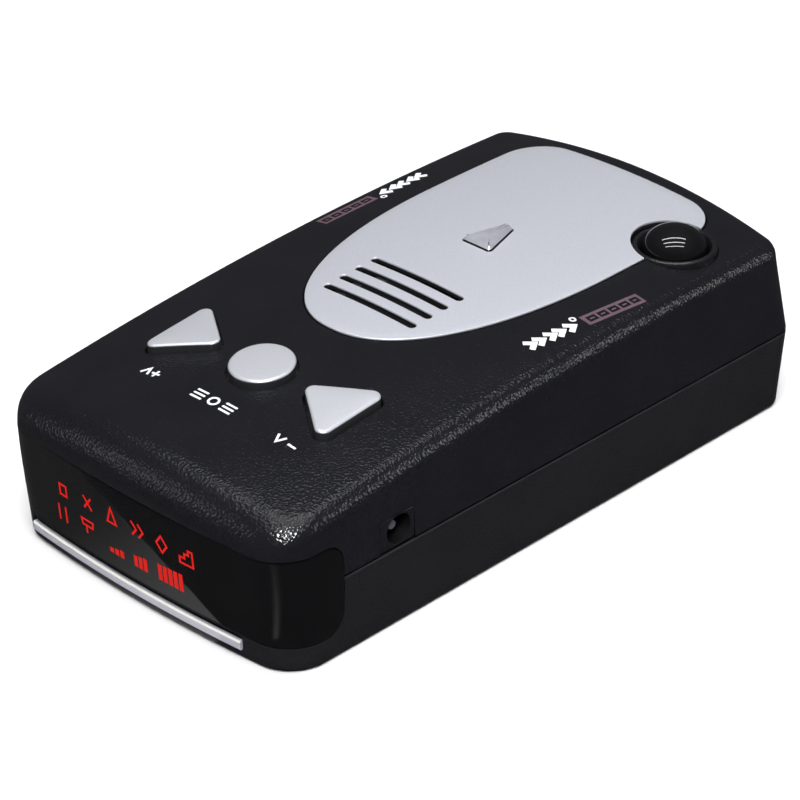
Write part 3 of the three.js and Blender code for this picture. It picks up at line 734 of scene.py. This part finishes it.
bottom = PARTING_Z + PARTING_GAP / 2
inner = upper_rings(bottom, WALL, 10)
rebate = TONGUE_TOP + GAP
outer = upper_rings(bottom, 0.0, CAP_STEPS)
inner_wall = [r for r in inner if r[:, 2].min() > rebate]
rings = inner_wall[::-1] + [flat_ring(rebate, WALL), flat_ring(rebate, TONGUE_INSET - GAP)]
rings += [flat_ring(bottom, TONGUE_INSET - GAP), flat_ring(bottom, LIP), flat_ring(bottom + LIP, 0.0)]
rings += outer[1:]
upper = make("case_upper", *loft(rings))
dome_cut = disc(*DOME, RING_OUTER + RING_GAP_CASE, 90)
carve(upper, [loft([lifted(dome_cut, level(CUT_LOW)), lifted(dome_cut, level(CUT_HIGH))])])
front_cut = [lens_prism(LENS_GAP),
             cutter(panel_outline, PANEL_CENTRE, over(-PANEL_SINK - GAP), PANEL_GAP, MOUTH_FLARE),
             box_part(JACK_X0, FAR, JACK_Y0 - JACK_GROW, JACK_Y1 + JACK_GROW, 0.0, JACK_Z1 + JACK_GROW)]
for centre, shape in BUTTONS.values():
    front_cut.append(cutter(shape, centre, level(FLANGE_Z - 2), GAP, KEY_FLARE))
carve(upper, front_cut)
grille_y0 = SLOT_FIRST_Y - SLOT_WIDTH
grille_y1 = SLOT_FIRST_Y + SLOT_PITCH * (SLOT_COUNT - 1) + SLOT_WIDTH
carve(upper, [
    box_part(-SLOT_HALF_LENGTH - GAP, SLOT_HALF_LENGTH + GAP, grille_y0, grille_y1, TONGUE_TOP, FAR),
    loft([lifted(arrow(ARROW_WELL), level(22.0)), lifted(arrow(ARROW_WELL), level(CUT_HIGH))]),
])
soften(upper)
piece(upper, [case_top], nodes=["upper_shell"])

top = PARTING_Z - PARTING_GAP / 2
rings = [flat_ring(0.0, FOOT_ROUND + 2.5), flat_ring(0.0, FOOT_ROUND + 0.3)]
for i in range(9):
    a = math.pi / 2 * i / 8
    rings.append(flat_ring(FOOT_ROUND * (1 - math.cos(a)), FOOT_ROUND * (1 - math.sin(a))))
for i in range(1, 7):
    rings.append(flat_ring(FOOT_ROUND + (top - LIP - FOOT_ROUND) * i / 6, 0.0))
rings += [flat_ring(top, LIP), flat_ring(top, TONGUE_INSET), flat_ring(TONGUE_TOP, TONGUE_INSET)]
rings += [flat_ring(TONGUE_TOP, WALL + 0.2), flat_ring(FLOOR, WALL + 0.2)]
lower = make("case_lower", *loft(rings))


def front_band(x0, x1, z0, z1, out, back, steps=44):
    """A band that follows the front face, from out in front of it to back behind it."""
    xs = np.linspace(x0, x1, steps + 1)
    section = [(-back, z0), (-back, z1), (out, z1), (out, z0)]
    rings = [np.array([(x, front_y(x, z) - d, z) for d, z in section]) for x in xs]
    return loft(rings)


holes = []
for x, y in BOSSES:
    holes.append(loft([lifted(disc(x, y, SCREW_HEAD_HOLE + 0.2, 40), level(-1.0)),
                       lifted(disc(x, y, SCREW_HEAD_HOLE + 0.2, 40), level(0.0)),
                       lifted(disc(x, y, SCREW_HEAD_HOLE, 40), level(0.2)),
                       lifted(disc(x, y, SCREW_HEAD_HOLE, 40), level(FLOOR + 0.5))]))
carve(lower, [front_band(STRIP_LEFT - STRIP_END_GAP, STRIP_RIGHT + STRIP_END_GAP, STRIP_Z0 - 0.25,
                         LENS_BOTTOM_Z - GAP, 2.0, STRIP_SINK + GAP)])
jack_cut = box_part(JACK_X0, FAR, JACK_Y0 - JACK_GROW, JACK_Y1 + JACK_GROW, JACK_Z0 - GAP, FAR)
carve(lower, [lens_prism(LENS_GAP), jack_cut] + holes)
soften(lower)
piece(lower, [case_side], nodes=["lower_shell"])

# ------------ window, strip

# The window is cut from a hollow wall that reaches past it above and below.
LENS_WALL_LOW = 3.6
LENS_WALL_HIGH = 19.6
lens_wall = [flat_ring(z, LENS_THICKNESS) for z in (LENS_WALL_HIGH, 11.0, LENS_WALL_LOW)]
lens_wall += [flat_ring(z, 0.0) for z in (LENS_WALL_LOW, 6.0, 9.0, 12.0, 15.0, LENS_WALL_HIGH)]
lens = make("display_window", *looped(lens_wall))
carve(lens, [lens_prism(0.0)], "INTERSECT")
soften(lens)
piece(lens, [lens_black], nodes=["display_lens"])

strip_section = [(-STRIP_SINK, STRIP_Z0), (-STRIP_SINK, STRIP_Z1), (0.02, STRIP_Z1), (0.08, STRIP_Z1 - 0.02),
                 (STRIP_PROUD, STRIP_Z1 - STRIP_BEVEL), (STRIP_PROUD, STRIP_Z0 + 0.15),
                 (STRIP_PROUD - 0.1, STRIP_Z0 + 0.04), (STRIP_PROUD - 0.2, STRIP_Z0)]
strip_rings = [np.array([(x, front_y(x, z) - d, z) for d, z in strip_section])
               for x in np.linspace(STRIP_LEFT, STRIP_RIGHT, 70)]
strip = make("front_strip", *loft(strip_rings))
soften(strip, 25)
# The upward-tilted bevel faces take the cream painted highlight.
second_finish(strip, lambda face: 0.3 < face.normal.z < 0.97)
piece(strip, [strip_silver, strip_painted_highlight], nodes=["front_trim_strip"])

# ------------ panel, arrow, dome

panel_rings = [scaled(panel_outline(0), PANEL_CENTRE, keep, over(-PANEL_SINK)) for keep in (0.3, 0.65)]
panel_rings.append(lifted(panel_outline(0), over(-PANEL_SINK)))
panel_rings.append(lifted(panel_outline(0), over(PANEL_PROUD - PANEL_SKIN)))
for degrees in (0, 22, 45, 68, 90):
    a = math.radians(degrees)
    panel_rings.append(lifted(panel_outline(-PANEL_EDGE * (1 - math.cos(a))),
                              over(PANEL_PROUD - PANEL_EDGE * (1 - math.sin(a)))))
for i in range(1, 16):
    panel_rings.append(scaled(panel_outline(-PANEL_EDGE), PANEL_CENTRE, 1 - i / 16, over(PANEL_PROUD)))
panel = make("top_panel_skin", *loft(panel_rings))


def panel_slot(i):
    y = SLOT_FIRST_Y + i * SLOT_PITCH
    straight = slot_outline(y, 0)
    rings = [lifted(straight, over(-3)), lifted(straight, over(PANEL_PROUD - PANEL_SKIN))]
    for degrees in (0, 30, 55, 78):
        a = math.radians(degrees)
        rings.append(lifted(slot_outline(y, SLOT_EDGE * (1 - math.cos(a))),
                            over(PANEL_PROUD - SLOT_EDGE * (1 - math.sin(a)))))
    rings.append(lifted(slot_outline(y, SLOT_EDGE), over(2)))
    return loft(rings)


def through_panel(outline):
    return loft([lifted(outline, level(CUT_LOW)), lifted(outline, over(PANEL_PROUD - PANEL_SKIN)),
                 lifted(outline, level(CUT_HIGH))])


carve(panel, [panel_slot(i) for i in range(SLOT_COUNT)]
      + [through_panel(disc(*DOME, RING_OUTER + RING_GAP_PANEL)),
         through_panel(arrow(ARROW_GAP) + ARROW_SHIFT)])
soften(panel)


def under_skin(face):
    x, y, z = face.center / MM
    return z < top_z(x, y - SHIFT) + PANEL_PROUD - PANEL_SKIN - 0.01


second_finish(panel, under_skin)
piece(panel, [panel_silver, jack_black], nodes=["top_panel"])

arrow_rings = [lifted(arrow(0), level(ARROW_FOOT_Z)), lifted(arrow(0), over(-1)),
               lifted(arrow(0), over(PANEL_PROUD + 0.2)), lifted(arrow(-0.05), over(PANEL_PROUD + 0.27)),
               lifted(arrow(0.05 - ARROW_BEVEL), over(ARROW_PROUD - 0.05)),
               lifted(arrow(-ARROW_BEVEL), over(ARROW_PROUD))]
for keep in (0.66, 0.33):
    arrow_rings.append(scaled(arrow(-ARROW_BEVEL), ARROW_CENTRE, keep, over(ARROW_PROUD)))
for ring in arrow_rings:
    ring[:, :2] += ARROW_SHIFT
light_pipe = make("arrow_light_pipe", *loft(arrow_rings))
soften(light_pipe, 22)
second_finish(light_pipe, lambda face: face.normal.z < 0.2)
piece(light_pipe, [arrow_silver, jack_black], nodes=["indicator_light_pipe"])


def turned(centre, profile, steps=96):
    """A body turned about an upright axis and closed flat across both ends of its profile."""
    return loft([lifted(disc(*centre, r, steps), level(z)) for r, z in profile])


def hoop(centre, profile, steps=96):
    """A ring turned about an upright axis; the profile is a closed loop."""
    return looped([lifted(disc(*centre, r, steps), level(z)) for r, z in profile])


DOME_STEPS = 24
dome_profile = [(DOME_RADIUS - DOME_SKIN, DOME_FOOT_Z), (DOME_RADIUS, DOME_FOOT_Z),
                (DOME_RADIUS, DOME_MIDDLE_Z - 0.4)]
for i in range(DOME_STEPS):
    a = math.pi / 2 * i / DOME_STEPS
    dome_profile.append((DOME_RADIUS * math.cos(a), DOME_MIDDLE_Z + DOME_RISE * math.sin(a)))
dome = make("laser_dome_skin", *turned(DOME, dome_profile))
soften(dome, 50)
piece(dome, [dome_black], nodes=["laser_dome"])

# The collar's lip, as how far each point is inside its outer wall and below its top.
LIP_SHAPE = [(0.0, 0.55), (0.06, 0.32), (0.2, 0.12), (0.42, 0.02), (0.62, 0.0), (0.82, 0.08), (0.96, 0.25),
             (1.05, 0.5), (RING_OUTER - RING_INNER - 0.08, 0.9), (RING_OUTER - RING_INNER, 1.1)]
collar_profile = [(RING_INNER, RING_FOOT_Z), (RING_OUTER, RING_FOOT_Z)]
collar_profile += [(RING_OUTER - inside, RING_TOP_Z - down) for inside, down in LIP_SHAPE]
collar = make("dome_collar", *hoop(DOME, collar_profile))
soften(collar, 40)
piece(collar, [ring_black], nodes=["dome_ring"])

# ------------ keys, inlet

for name, (centre, shape) in BUTTONS.items():
    key = make(f"{name}_key_cap", *loft(button_rings(shape, centre)))
    soften(key, 40)
    piece(key, [button_silver], body=f"{name}_key", nodes=[f"{name}_button"])

SOCKET_FACE = wall_x(JACK_HOLE_Z) - 0.02
jack_y = (JACK_Y0 + JACK_Y1) / 2
half_y = (JACK_Y1 - JACK_Y0) / 2
jack_z = (JACK_Z0 + JACK_Z1) / 2
half_z = (JACK_Z1 - JACK_Z0) / 2
HOLE_STEPS = 64
square = []
for k in range(HOLE_STEPS):
    a = 2 * math.pi * k / HOLE_STEPS
    c, s = math.cos(a), math.sin(a)
    reach = min(half_y / max(abs(c), 1e-6), half_z / max(abs(s), 1e-6))
    square.append((jack_y + reach * c, jack_z + reach * s))
square = np.array(square)
angles = np.arange(HOLE_STEPS) * 2 * math.pi / HOLE_STEPS


def hole_ring(x, radius):
    return np.column_stack([np.full(HOLE_STEPS, x), JACK_HOLE_Y + radius * np.cos(angles),
                            JACK_HOLE_Z + radius * np.sin(angles)])


def square_ring(x, inset):
    keep = 1 - inset / half_z
    return np.column_stack([np.full(HOLE_STEPS, x), jack_y + (square[:, 0] - jack_y) * keep,
                            jack_z + (square[:, 1] - jack_z) * keep])


socket = make("dc_inlet_socket", *loft([
    square_ring(JACK_X0, 0.0), square_ring(SOCKET_FACE - 0.1, 0.0), square_ring(SOCKET_FACE, 0.1),
    hole_ring(SOCKET_FACE, JACK_HOLE_RADIUS + 0.16), hole_ring(SOCKET_FACE - 0.05, JACK_HOLE_RADIUS + 0.06),
    hole_ring(SOCKET_FACE - 0.2, JACK_HOLE_RADIUS), hole_ring(JACK_X0 + JACK_BACK, JACK_HOLE_RADIUS)]))
soften(socket, 40)
# Faces behind the socket's face, in the hole and in the gap round it, take the painted shade.
second_finish(socket, lambda face: face.center.x / MM < SOCKET_FACE - 0.1)
piece(socket, [case_top, hole_painted_shade], nodes=["dc_jack_housing"])

# ------------ marks

def ribbon(points, width, closed=False, longest=0.8):
    """A flat stroke along points, as rows of (left, right) pairs."""
    pts = [np.asarray(p, float) for p in points]
    if closed:
        pts.append(pts[0])
    fine = []
    for a, b in zip(pts, pts[1:]):
        steps = max(1, int(math.ceil(np.linalg.norm(b - a) / longest)))
        fine.extend(a + (b - a) * k / steps for k in range(steps))
    if not closed:
        fine.append(pts[-1])
    rows = []
    count = len(fine)
    for i, p in enumerate(fine):
        before = fine[i - 1] if (closed or i) else p
        after = fine[(i + 1) % count] if (closed or i + 1 < count) else p
        d1 = (p - before) / max(np.linalg.norm(p - before), 1e-9)
        d2 = (after - p) / max(np.linalg.norm(after - p), 1e-9)
        n1, n2 = np.array([-d1[1], d1[0]]), np.array([-d2[1], d2[0]])
        if not d1.any():
            n1 = n2
        if not d2.any():
            n2 = n1
        n = n1 + n2
        n = n / max(np.linalg.norm(n), 1e-9)
        n = n / max(0.5, float(n @ n1))
        rows.append((p + n * width / 2, p - n * width / 2))
    return rows, closed


MARK_SINK = 0.03


def stroke_part(stroke, lay, low, high):
    """The stroke laid on a surface as a closed plate between two heights over it."""
    rows, closed = stroke
    points = []
    for left, right in rows:
        points += [lay(*left, low), lay(*right, low), lay(*right, high), lay(*left, high)]
    faces = []
    count = len(rows)
    for i in range(count if closed else count - 1):
        a, b = 4 * i, 4 * ((i + 1) % count)
        for k in range(4):
            m = (k + 1) % 4
            faces.append((a + k, b + k, b + m, a + m))
    if not closed:
        faces.append((0, 1, 2, 3))
        e = 4 * (count - 1)
        faces.append((e + 3, e + 2, e + 1, e))
    return np.array(points), faces


def marks(name, strokes, lay, high, material):
    """Strokes laid on a surface as one piece, standing high above it."""
    obj = make(name, *merged([stroke_part(s, lay, -MARK_SINK, high) for s in strokes]))
    bm = bmesh.new()
    bm.from_mesh(obj.data)
    bmesh.ops.recalc_face_normals(bm, faces=bm.faces)
    bm.to_mesh(obj.data)
    bm.free()
    return piece(obj, [material])


def on_front(x, z, height):
    return (x, front_y(x, z) - height, z)


def on_top(x, y, height):
    return (x, y, top_z(x, y) + height)


def moved(icon, dx, dy):
    return [([(dx + x, dy + y) for x, y in points], closed) for points, closed in icon]


SIGN_LINE = 0.34
SIGN_PROUD = 0.035
# Each sign is a list of strokes about its own middle, each with whether it closes on itself.
ICONS = {
    "square": [([(0.75, 0.9), (-0.75, 0.9), (-0.75, -0.9), (0.75, -0.9)], True)],
    "cross": [([(-0.85, 1.05), (0.85, -1.05)], False), ([(0.85, 1.05), (-0.85, -1.05)], False)],
    "peak": [([(0.0, 1.35), (-0.95, -1.25), (0.95, -1.25)], True)],
    "chevrons": [([(-1.2, 1.2), (-0.2, 0.0), (-1.2, -1.2)], False),
                 ([(0.2, 1.2), (1.2, 0.0), (0.2, -1.2)], False)],
    "diamond": [([(0.0, 1.4), (-1.05, 0.0), (0.0, -1.4), (1.05, 0.0)], True)],
    "steps": [([(-1.3, -1.3), (-1.3, -0.3), (-0.3, -0.3), (-0.3, 0.5), (0.5, 0.5), (0.5, 1.3), (1.3, 1.3),
                (1.3, -1.3)], True)],
    "pair": [([(-0.8, 1.4), (-0.8, -1.4)], False), ([(0.8, 1.4), (0.8, -1.4)], False)],
    "flag": [([(-1.3, 1.1), (1.3, 1.1), (1.1, 0.1), (-1.1, 0.1)], True),
             ([(-0.3, 0.0), (-0.3, -1.2)], False)],
}
LAYOUT = [("square", -15.6, 12.9), ("cross", -9.9, 13.35), ("peak", -4.6, 13.6), ("chevrons", 1.0, 13.65),
          ("diamond", 6.0, 13.5), ("steps", 10.9, 13.45), ("pair", -16.4, 8.5), ("flag", -10.5, 8.9)]
strokes = []
for icon, x, z in LAYOUT:
    strokes += [ribbon(points, SIGN_LINE, closed) for points, closed in moved(ICONS[icon], x, z)]
# Each group of signal bars, as its left, right and foot and the heights of its bars.
BARS = [(-5.9, -2.55, 6.9, (0.8, 1.0, 1.25)), (-0.6, 2.45, 6.85, (1.9, 2.05, 2.25)),
        (4.5, 9.8, 6.85, (2.75, 2.8, 2.9, 2.95, 3.0))]
for x0, x1, z0, heights in BARS:
    pitch = (x1 - x0) / len(heights)
    for k, height in enumerate(heights):
        x = x0 + pitch * (k + 0.5)
        strokes.append(ribbon([(x, z0), (x, z0 + height)], pitch * 0.7))
marks("display_segments", strokes, on_front, SIGN_PROUD, glyph_red)

PRINT_PROUD = 0.025
PRINT_SLOPE = 0.112
PRINT_HEIGHT = 2.3


def beside_panel(turn):
    """Lays (along, across) on the top's right edge, or turned half round onto its left edge."""
    def lay(along, across, height):
        if turn:
            return on_top(across - PRINT_HEIGHT - 24.05 - 0.02 * along, 33.4 - along, height)
        return on_top(22.15 + PRINT_SLOPE * along + PRINT_HEIGHT - across, along, height)
    return lay


white = []
for start in (2.4, 4.1, 6.2, 7.9, 10.0):
    white.append(ribbon([(start, 2.1), (start + 1.3, 1.15), (start, 0.2)], 0.85))
white.append(ribbon(disc(12.3, 2.45, 0.42, 12), 0.28, True))
rose = [ribbon([(13.5, 0.12), (24.35, 0.12), (24.35, 2.18), (13.5, 2.18)], 0.26, True)]
rose += [ribbon([(13.6, 1.93), (24.25, 1.93)], 0.3), ribbon([(13.6, 0.37), (24.25, 0.37)], 0.3)]
# Where each upright of the frame starts and ends.
edges = [13.5, 14.0, 15.75, 16.15, 17.85, 18.25, 19.95, 20.35, 22.05, 22.45, 24.0, 24.35]
rose += [ribbon([((a + b) / 2, 0.45), ((a + b) / 2, 1.85)], b - a) for a, b in zip(edges[::2], edges[1::2])]
rose += [ribbon([(a + 0.45, 1.15), (b - 0.45, 1.15)], 0.26) for a, b in zip(edges[1:-1:2], edges[2::2])]
for side, turn in (("right", False), ("left", True)):
    marks(f"print_blocks_{side}", white, beside_panel(turn), PRINT_PROUD, print_white)
    marks(f"print_frame_{side}", rose, beside_panel(turn), PRINT_PROUD, print_rose)

LABEL_Y = -38.0
LABEL_LINE = 0.36
LABEL_HALF = 0.75
PLUS_X = -11.9


def label(points, closed=False):
    """One stroke of the key labels, its heights counted from the middle of their row."""
    return ribbon([(x, LABEL_Y + y) for x, y in points], LABEL_LINE, closed)


labels = [label([(PLUS_X - LABEL_HALF, 0), (PLUS_X + LABEL_HALF, 0)]),
          label([(PLUS_X, -LABEL_HALF), (PLUS_X, LABEL_HALF)]),
          label([(-14.4, -LABEL_HALF), (-13.6, LABEL_HALF), (-13.0, -LABEL_HALF)])]
for x in (-2.6, 3.3):
    labels += [label([(x - 1.1, y), (x + 1.1, y)]) for y in (-0.8, 0.0, 0.8)]
labels += [label(disc(0.35, 0.0, 0.8, 16), True), label([(15.5, 0), (17.0, 0)]),
           label([(13.0, LABEL_HALF), (13.8, -LABEL_HALF), (14.5, LABEL_HALF)])]
marks("print_key_labels", labels, on_top, PRINT_PROUD, print_white)

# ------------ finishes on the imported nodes

INNER = {
    "steel": plain("zinc_steel", (0.3, 0.3, 0.32), 0.5, metallic=0.8, feature=1.2),
    "board_green": plain("board_mask", (0.01, 0.075, 0.03), 0.38, feature=2.5, height=0.02),
    "chip_black": plain("chip_resin", (0.012, 0.012, 0.013), 0.5),
    "led_red": plain("led_resin", (0.35, 0.01, 0.008), 0.25),
    "display_dark": plain("display_body", (0.01, 0.01, 0.012), 0.35),
    "plunger_brown": plain("plunger_resin", (0.12, 0.05, 0.025), 0.45),
    "magnet_grey": plain("ferrite", (0.035, 0.035, 0.038), 0.5, metallic=0.3),
    "cone_black": plain("paper_cone", (0.006, 0.006, 0.007), 0.8, feature=0.4, height=0.03),
    "capacitor_blue": plain("capacitor_sleeve", (0.01, 0.03, 0.09), 0.3),
    "case_black": case_side, "lens_black": lens_black, "strip_silver": strip_silver,
    "panel_silver": panel_silver, "button_silver": button_silver, "light_pipe_clear": arrow_silver,
    "dome_black": dome_black, "ring_black": ring_black, "jack_black": jack_black,
}
slots = {entry["node"]: entry["material_slot"] for entry in frame["record"]["subparts"]}
for node, obj in frame["nodes"].items():
    for material_slot in obj.material_slots:
        material_slot.link = "OBJECT"
        material_slot.material = INNER[slots[node]]

# ------------ studio

FLOOR_REACH = 3000
FLOOR_Z = -0.03
floor_corners = [(x * FLOOR_REACH, y * FLOOR_REACH, FLOOR_Z) for x, y in ((-1, -1), (1, -1), (1, 1), (-1, 1))]
floor = make("floor", floor_corners, [(0, 1, 2, 3)])
floor_paint = Recipe("floor_paper", (0.83, 0.83, 0.835), 0.9, specular=0.0)
floor_paint.mottle(floor_paint.noise(40, 3), 0.004)
floor.data.materials.append(floor_paint.material)
floor.visible_glossy = False


def card(name, height, outline, start, end):
    """A level lit card that only reflections see; start and end are (x, strength) pairs."""
    obj = make(name, [(x, y, height) for x, y in outline], [tuple(range(len(outline)))])
    material = bpy.data.materials.new(name)
    material.use_nodes = True
    tree = material.node_tree
    tree.nodes.clear()
    emission = tree.nodes.new("ShaderNodeEmission")
    along = tree.nodes.new("ShaderNodeSeparateXYZ")
    tree.links.new(tree.nodes.new("ShaderNodeTexCoord").outputs["Object"], along.inputs["Vector"])
    fade = tree.nodes.new("ShaderNodeMapRange")
    fade.interpolation_type = "SMOOTHSTEP"
    for place, (x, strength) in (("Min", start), ("Max", end)):
        fade.inputs[f"From {place}"].default_value = x * MM
        fade.inputs[f"To {place}"].default_value = strength
    tree.links.new(along.outputs["X"], fade.inputs["Value"])
    tree.links.new(fade.outputs["Result"], emission.inputs["Strength"])
    output = tree.nodes.new("ShaderNodeOutputMaterial")
    tree.links.new(emission.outputs["Emission"], output.inputs["Surface"])
    obj.data.materials.append(material)
    obj.visible_camera = False
    obj.visible_diffuse = False
    obj.visible_shadow = False
    obj.visible_transmission = False


# Cards on the floor before the window: one gives its slanting lit part, two the soft line on its corner.
card("card_before_window", 0.02,
     [(-60, -69), (-34, -66.3), (-22, -65.2), (-8, -62.6), (4, -59.4), (14.6, -55.6), (14.6, -48),
      (-60, -48)],
     (-26, 0.09), (14, 0.6))
card("card_corner_wide", 0.02, [(25.2, -57.6), (32, -75), (42.5, -71), (29.6, -57)], (26, 0.16), (42, 0.08))
card("card_corner_narrow", 0.04, [(26.4, -57.6), (34.6, -74), (39.4, -72), (28.4, -57.2)],
     (26, 0.45), (38, 0.15))

world = bpy.data.worlds.new("studio")
scene.world = world
world.use_nodes = True
tree = world.node_tree
coordinate = tree.nodes.new("ShaderNodeTexCoord")
split = tree.nodes.new("ShaderNodeSeparateXYZ")
ramp = tree.nodes.new("ShaderNodeValToRGB")
tree.links.new(coordinate.outputs["Generated"], split.inputs["Vector"])
span = tree.nodes.new("ShaderNodeMapRange")
span.inputs["From Min"].default_value = -1.0
tree.links.new(split.outputs["Z"], span.inputs["Value"])
tree.links.new(span.outputs["Result"], ramp.inputs["Fac"])
# Brightness of the surroundings by direction, from straight down (0) to straight up (1).
stops = [(0.0, 0.03), (0.46, 0.07), (0.6, 0.06), (0.76, 0.07), (0.88, 0.12), (1.0, 0.2)]
ramp.color_ramp.elements[0].position, ramp.color_ramp.elements[1].position = stops[0][0], stops[-1][0]
ramp.color_ramp.elements[0].color = (stops[0][1],) * 3 + (1,)
ramp.color_ramp.elements[1].color = (stops[-1][1],) * 3 + (1,)
for position, value in stops[1:-1]:
    ramp.color_ramp.elements.new(position).color = (value, value, value * 1.05, 1)
tree.links.new(ramp.outputs["Color"], tree.nodes["Background"].inputs["Color"])
tree.nodes["Background"].inputs["Strength"].default_value = 1.0


def posed(x_axis, y_axis, z_axis, position):
    """The matrix of an object with these axes at that position."""
    rows = [[*row, place] for row, place in zip(zip(x_axis, y_axis, z_axis), position)]
    return Matrix(rows + [[0, 0, 0, 1]])


AZIMUTH = math.radians(44.553)
ELEVATION = math.radians(30.377)
ROLL = math.radians(-0.237)
DISTANCE = 520.3
TARGET = Vector((-0.44, 0.44 + SHIFT, 11.47))
LENS_MM = 154.93
back = Vector((math.sin(AZIMUTH) * math.cos(ELEVATION), -math.cos(AZIMUTH) * math.cos(ELEVATION),
               math.sin(ELEVATION)))
right = Vector((math.cos(AZIMUTH), math.sin(AZIMUTH), 0.0))
up = back.cross(right)
rolled_right = math.cos(ROLL) * right + math.sin(ROLL) * up
rolled_up = -math.sin(ROLL) * right + math.cos(ROLL) * up
lens_data = bpy.data.cameras.new("camera")
lens_data.lens = LENS_MM
lens_data.sensor_width = 36.0
lens_data.clip_start = 0.01
lens_data.clip_end = 20.0
camera = bpy.data.objects.new("camera", lens_data)
scene.collection.objects.link(camera)
camera.matrix_world = posed(rolled_right, rolled_up, back, (TARGET + back * DISTANCE) * MM)
scene.camera = camera


def lamp(name, position, target, width, height, power, diffuse=True, glossy=True):
    """A rectangular soft light, its width level and along the camera's right where it looks down."""
    data = bpy.data.lights.new(name, "AREA")
    data.shape = "RECTANGLE"
    data.size, data.size_y = width, height
    data.energy = power
    obj = bpy.data.objects.new(name, data)
    scene.collection.objects.link(obj)
    away = (Vector(position) - Vector(target)).normalized()
    side = right - away * right.dot(away)
    side.normalize()
    upright = away.cross(side)
    obj.matrix_world = posed(side, upright, away, position)
    obj.visible_diffuse = diffuse
    obj.visible_glossy = glossy
    return obj


# Three tubes overhead, which the dome reflects as three short lines.
TUBE_SPACING = 0.30
ahead = -Vector((back.x, back.y, 0)).normalized()
for k in (-1, 0, 1):
    centre = ahead * (TUBE_SPACING * k) + Vector((0.03, -0.03, 1.0))
    lamp(f"tube_{k + 1}", centre, (centre.x, centre.y, 0), 1.0, 0.05, 2.7)

# Soft lamps that reflections don't see.
lamp("sky", (0.0, 0.0, 1.1), (0, 0, 0), 1.6, 1.6, 5.0, glossy=False)
lamp("key", (0.33, -0.37, 0.72), (0, -0.02, 0.02), 0.42, 0.34, 5.8, glossy=False)

# Small lamps that only the grain's reflections see; the smooth pieces are left out of them.
smooth_pieces = bpy.data.collections.new("without_glints")
for smooth in (dome, lens, collar):
    smooth_pieces.objects.link(smooth)
for member in smooth_pieces.collection_objects:
    member.light_linking.link_state = "EXCLUDE"
for glint in (lamp("glint", (0.36, -0.46, 0.62), (0, -0.02, 0.02), 0.16, 0.08, 13.0, diffuse=False),
              lamp("glint_left", (-0.57, -0.70, 0.28), (0, -0.04, 0.02), 0.40, 0.16, 0.6, diffuse=False),
              lamp("glint_right", (0.70, 0.58, 0.27), (0.02, 0, 0.02), 0.40, 0.16, 1.5, diffuse=False)):
    glint.light_linking.receiver_collection = smooth_pieces
lamp("back", (0.55, 0.75, 0.6), (0, 0, 0.02), 0.5, 0.4, 1.5, glossy=False)

scene.view_settings.view_transform = "Standard"
